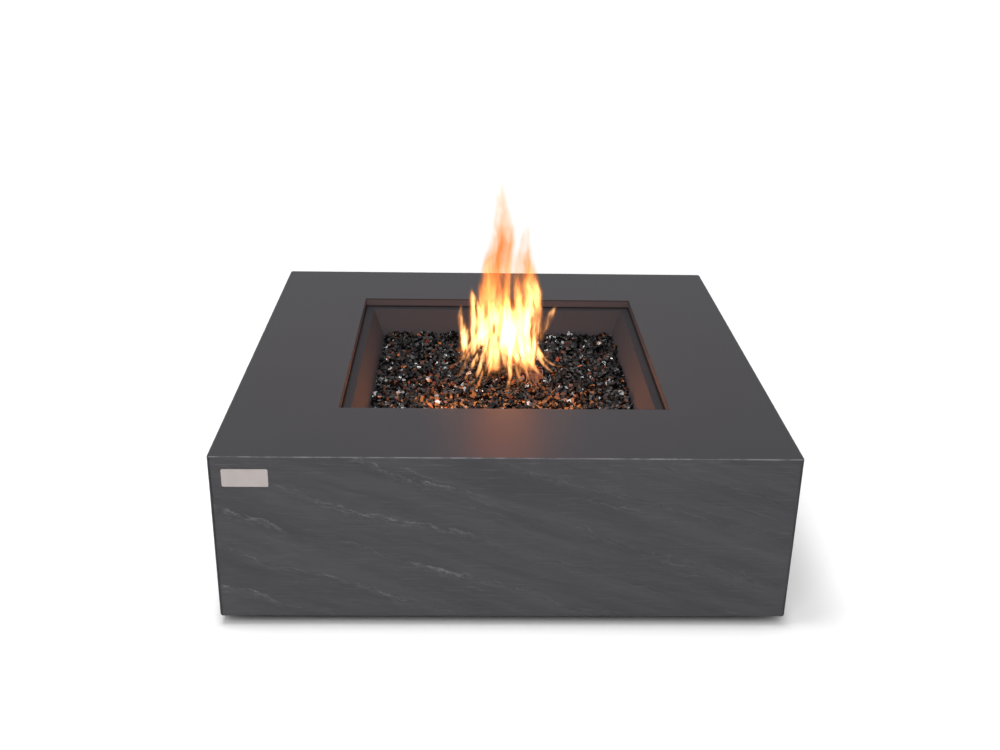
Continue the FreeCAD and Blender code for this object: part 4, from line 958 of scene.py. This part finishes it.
def soft_box(name, power, place, size, aim=(0.0, 0.0, 0.2)):
    lamp = new_lamp(name, "AREA", power, place)
    lamp.data.size = size
    lamp.rotation_mode = "QUATERNION"
    lamp.rotation_quaternion = (Vector(aim) - Vector(place)).to_track_quat("-Z", "Y")
    lamp.visible_camera = False
    return lamp


def seen_directly(bench):
    """1 for rays that show the background: from the camera, off gloss or through glass."""
    kinds = ("Is Camera Ray", "Is Glossy Ray", "Is Transmission Ray")
    camera, glossy, through = [bench.node("ShaderNodeLightPath", out=kind) for kind in kinds]
    return bench.maths("MAXIMUM", bench.maths("MAXIMUM", camera, glossy), through)


def studio_floor(look):
    """A pale floor that takes the object's shadow, painted darker at its foot, and fades to white away from
    it.
    """
    material, bench = new_finish("studio_floor")
    seen = seen_directly(bench)
    x, y, z = bench.parts(bench.place())
    beside = bench.maths("MAXIMUM", abs(x), abs(y)) - HALF_WIDTH
    distance = bench.maths("SQRT", x * x + y * y)
    left_or_right = bench.rise(abs(x) - HALF_WIDTH, -0.02, 0.02)
    # Painted shadow: no glow right at the table's foot, so the floor is darker there; more glow to the left
    # and right paints the shade there lighter.
    glow = bench.rise(beside, -0.020, 0.030) * (look.floor_glow + left_or_right * look.side_glow)
    glow = glow + bench.rise(distance, GLOW_START, GLOW_FULL) * look.far_glow
    matt = bench.node("ShaderNodeBsdfDiffuse", None, {"Color": paint(look.floor_colour)})
    light = bench.node("ShaderNodeEmission", None, {"Strength": seen * glow})
    both = bench.node("ShaderNodeAddShader", None, {0: matt, 1: light})
    bench.node("ShaderNodeOutputMaterial", None, {"Surface": both}, None)
    corners = [(x * FLOOR_HALF, y * FLOOR_HALF, 0) for x, y in ((-1, -1), (1, -1), (1, 1), (-1, 1))]
    new_piece("studio_floor", corners, [(0, 1, 2, 3)], material)


def white_room(look):
    world = bpy.data.worlds.new("white_room")
    world.use_nodes = True
    world.node_tree.nodes.clear()
    bench = Bench(world.node_tree)
    seen = seen_directly(bench)
    strength = look.sky + seen * (1 - look.sky)
    sky = bench.node("ShaderNodeBackground", None, {"Color": (1.0, 1.0, 1.0, 1.0), "Strength": strength})
    bench.node("ShaderNodeOutputWorld", None, {"Surface": sky}, None)
    bpy.context.scene.world = world


def photo_camera():
    """The photograph's point of view, with a slight roll."""
    yaw, pitch, roll = (math.radians(angle) for angle in (CAMERA_YAW, CAMERA_PITCH, CAMERA_ROLL))
    forward = Vector((math.sin(yaw) * math.cos(pitch), math.cos(yaw) * math.cos(pitch), -math.sin(pitch)))
    level = Vector((math.cos(yaw), -math.sin(yaw), 0))
    upward = level.cross(forward)
    right = level * math.cos(roll) + upward * math.sin(roll)
    up = upward * math.cos(roll) - level * math.sin(roll)
    data = bpy.data.cameras.new("photo_camera")
    data.lens = CAMERA_LENS
    data.sensor_width = SENSOR_WIDTH
    camera = new_object("photo_camera", data)
    turned = Matrix((right, up, -forward)).transposed().to_4x4()
    camera.matrix_world = Matrix.Translation(CAMERA_PLACE) @ turned
    bpy.context.scene.camera = camera


# Operators


class Step:
    bl_options = {"REGISTER", "UNDO"}


class FIRETABLE_OT_concrete_body(Step, Operator):
    """Finish the cast body: satin top, slate sides, painted edge highlights"""
    bl_idname = "firetable.concrete_body"
    bl_label = "Concrete body"

    def execute(self, context):
        dress(slate_concrete(context.scene.fire_table.stone), "concrete_body")
        return {"FINISHED"}


class FIRETABLE_OT_front_plate(Step, Operator):
    """Finish the bare brushed plate and the pad that holds it"""
    bl_idname = "firetable.front_plate"
    bl_label = "Front plate"

    def execute(self, context):
        colour = context.scene.fire_table.metal.plate_colour
        dress(brushed("front_plate_steel", colour, 0, roughness=0.42), "badge_plate")
        dress(moulded("foam_pad", (0.02, 0.02, 0.02), 0.8, 700, 0.0001, 0.2), "badge_tape")
        return {"FINISHED"}


class FIRETABLE_OT_fire_glass(Step, Operator):
    """Fill the bowl with loose shards of black glass"""
    bl_idname = "firetable.fire_glass"
    bl_label = "Fire glass"

    def execute(self, context):
        fire_glass_bed(context.scene.fire_table.glass)
        return {"FINISHED"}


class FIRETABLE_OT_burner(Step, Operator):
    """Finish the pan, the ring and the mixer below it"""
    bl_idname = "firetable.burner"
    bl_label = "Burner"

    def execute(self, context):
        metal = context.scene.fire_table.metal
        dress(fired_steel("burner_steel", metal.steel_colour), "burner_pan", "burner_ring")
        dress(plated("mixer_zinc", metal.zinc_colour), "air_mixer", "burner_nut")
        dress(plated("pan_screw_steel", (0.62, 0.62, 0.62), 0.2), "pan_screws")
        return {"FINISHED"}


class FIRETABLE_OT_pilot(Step, Operator):
    """Finish the shield, the electrode and the thermocouple"""
    bl_idname = "firetable.pilot"
    bl_label = "Pilot"

    def execute(self, context):
        metal = context.scene.fire_table.metal
        dress(fired_steel("shield_steel", shade(metal.steel_colour, 1.1)), "sensor_shield", "sensor_bracket")
        dress(fired_steel("probe_steel", metal.steel_colour), "thermocouple", "spark_electrode")
        dress(glazed_ceramic(), "electrode_insulator")
        dress(machined("lead_copper", (0.70, 0.36, 0.22), 1), "thermocouple_lead")
        dress(moulded("wire_jacket", (0.58, 0.56, 0.52), 0.5, 500), "ignition_wire")
        return {"FINISHED"}


class FIRETABLE_OT_gas_train(Step, Operator):
    """Finish the valve, the tubes, the nuts and the inlet"""
    bl_idname = "firetable.gas_train"
    bl_label = "Gas train"

    def execute(self, context):
        metal = context.scene.fire_table.metal
        brass = machined("turned_brass", metal.brass_colour, 1)
        dress(brass, "gas_orifice", "valve_plug", "push_rod", "magnet_unit", "inlet_fitting", "inlet_nut")
        dress(brass, *[f"tube_nut_{end}" for end in ("burner", "outlet", "inlet", "supply")])
        dress(plated("forged_brass", shade(metal.brass_colour, 0.9), 0.36), "gas_valve")
        dress(machined("drawn_aluminium", (0.72, 0.73, 0.74), 2), "gas_tube", "inlet_tube")
        dress(plated("spindle_zinc", metal.zinc_colour), "valve_spindle", "valve_nut", "inlet_bracket")
        wound_spring("valve_spring", "knob_push", VALVE_SPRING, "spring_steel")
        dress(plated("bracket_screw_steel", (0.62, 0.62, 0.62), 0.2), "bracket_screws")
        return {"FINISHED"}


class FIRETABLE_OT_controls(Step, Operator):
    """Finish the rear panel, the knob and the igniter, and print the marks"""
    bl_idname = "firetable.controls"
    bl_label = "Controls"

    def execute(self, context):
        metal = context.scene.fire_table.metal
        dress(brushed("panel_steel", metal.steel_colour, 0, roughness=0.30), "control_panel")
        dress(plated("panel_screw_steel", (0.66, 0.66, 0.66), 0.18), "panel_screws")
        dress(moulded("knob_plastic", (0.020, 0.020, 0.021), 0.46), "control_knob")
        black = moulded("igniter_plastic", (0.024, 0.024, 0.026), 0.50)
        dress(black, "igniter_housing", "igniter_nut")
        dress(moulded("button_plastic", (0.016, 0.016, 0.017), 0.26, 500, 0.00001), "igniter_button")
        dress(moulded("battery_sleeve", (0.10, 0.10, 0.105), 0.3), "battery")
        wound_spring("igniter_spring", "button_push", IGNITER_SPRING, "igniter_spring_steel")
        panel_marks(moulded("panel_print", (0.015, 0.015, 0.016), 0.6, 400, 0.00001))
        knob_pointer(moulded("pointer_paint", (0.72, 0.72, 0.70), 0.5, 600, 0.00001))
        return {"FINISHED"}


class FIRETABLE_OT_feet(Step, Operator):
    """Finish the levelling feet"""
    bl_idname = "firetable.feet"
    bl_label = "Feet"

    def execute(self, context):
        metal = context.scene.fire_table.metal
        rubber = moulded("foot_rubber", (0.022, 0.022, 0.022), 0.72, 600, 0.00006, 0.3)
        zinc = plated("stud_zinc", metal.zinc_colour)
        brass = machined("insert_brass", metal.brass_colour, 2)
        for corner in ("fl", "fr", "br", "bl"):
            dress(rubber, f"foot_pad_{corner}")
            dress(zinc, f"foot_stud_{corner}")
            dress(brass, f"foot_insert_{corner}")
        return {"FINISHED"}


class FIRETABLE_OT_flame(Step, Operator):
    """Light the fire over the glass"""
    bl_idname = "firetable.flame"
    bl_label = "Flame"

    def execute(self, context):
        flame_cloud(context.scene.fire_table.flame)
        fire_lamps(context.scene.fire_table.flame)
        return {"FINISHED"}


class FIRETABLE_OT_stage(Step, Operator):
    """Set up the floor, the white room, the lamps and the camera"""
    bl_idname = "firetable.stage"
    bl_label = "Stage"

    def execute(self, context):
        look = context.scene.fire_table.stage
        context.scene.view_settings.view_transform = "Standard"
        photo_camera()
        studio_floor(look)
        white_room(look)
        soft_box("overhead_lamp", look.key_power, *OVERHEAD_LAMP)
        soft_box("fill_lamp", look.fill_power, *FILL_LAMP)
        for number in range(GLINT_LAMPS):
            angle = math.radians(GLINT_START + GLINT_SWEEP * number / (GLINT_LAMPS - 1))
            height = GLINT_LOW + GLINT_SPREAD * (number % 3) / 2
            place = (GLINT_ACROSS * math.cos(angle), GLINT_DEEP * math.sin(angle), height)
            lamp = soft_box(f"glint_lamp_{number}", look.glint_power, place, GLINT_SIZE)
            lamp.visible_diffuse = False
        return {"FINISHED"}


class FIRETABLE_PT_sidebar(Panel):
    """Sizes, colours and steps of the fire table"""
    bl_label = "Fire table"
    bl_idname = "FIRETABLE_PT_sidebar"
    bl_space_type = "VIEW_3D"
    bl_region_type = "UI"
    bl_category = "Fire Table"

    def draw(self, context):
        settings = context.scene.fire_table
        for part in ("stone", "glass", "metal", "flame", "stage"):
            look = getattr(settings, part)
            box = self.layout.box()
            box.label(text=part.capitalize())
            for name in look.__annotations__:
                box.prop(look, name)
        for step in STEPS:
            self.layout.operator(step.bl_idname)


LOOKS = (StoneLook, GlassLook, MetalLook, FlameLook, StageLook, FireTable)
STEPS = (
    FIRETABLE_OT_stage,
    FIRETABLE_OT_concrete_body,
    FIRETABLE_OT_front_plate,
    FIRETABLE_OT_fire_glass,
    FIRETABLE_OT_burner,
    FIRETABLE_OT_pilot,
    FIRETABLE_OT_gas_train,
    FIRETABLE_OT_controls,
    FIRETABLE_OT_feet,
    FIRETABLE_OT_flame,
)


def register():
    for item in LOOKS + STEPS + (FIRETABLE_PT_sidebar,):
        bpy.utils.register_class(item)
    bpy.types.Scene.fire_table = PointerProperty(type=FireTable)


def unregister():
    del bpy.types.Scene.fire_table
    for item in reversed(LOOKS + STEPS + (FIRETABLE_PT_sidebar,)):
        bpy.utils.unregister_class(item)


def main():
    register()
    for step in STEPS:
        getattr(bpy.ops.firetable, step.bl_idname.split(".")[1])()


if __name__ == "__main__":
    main()
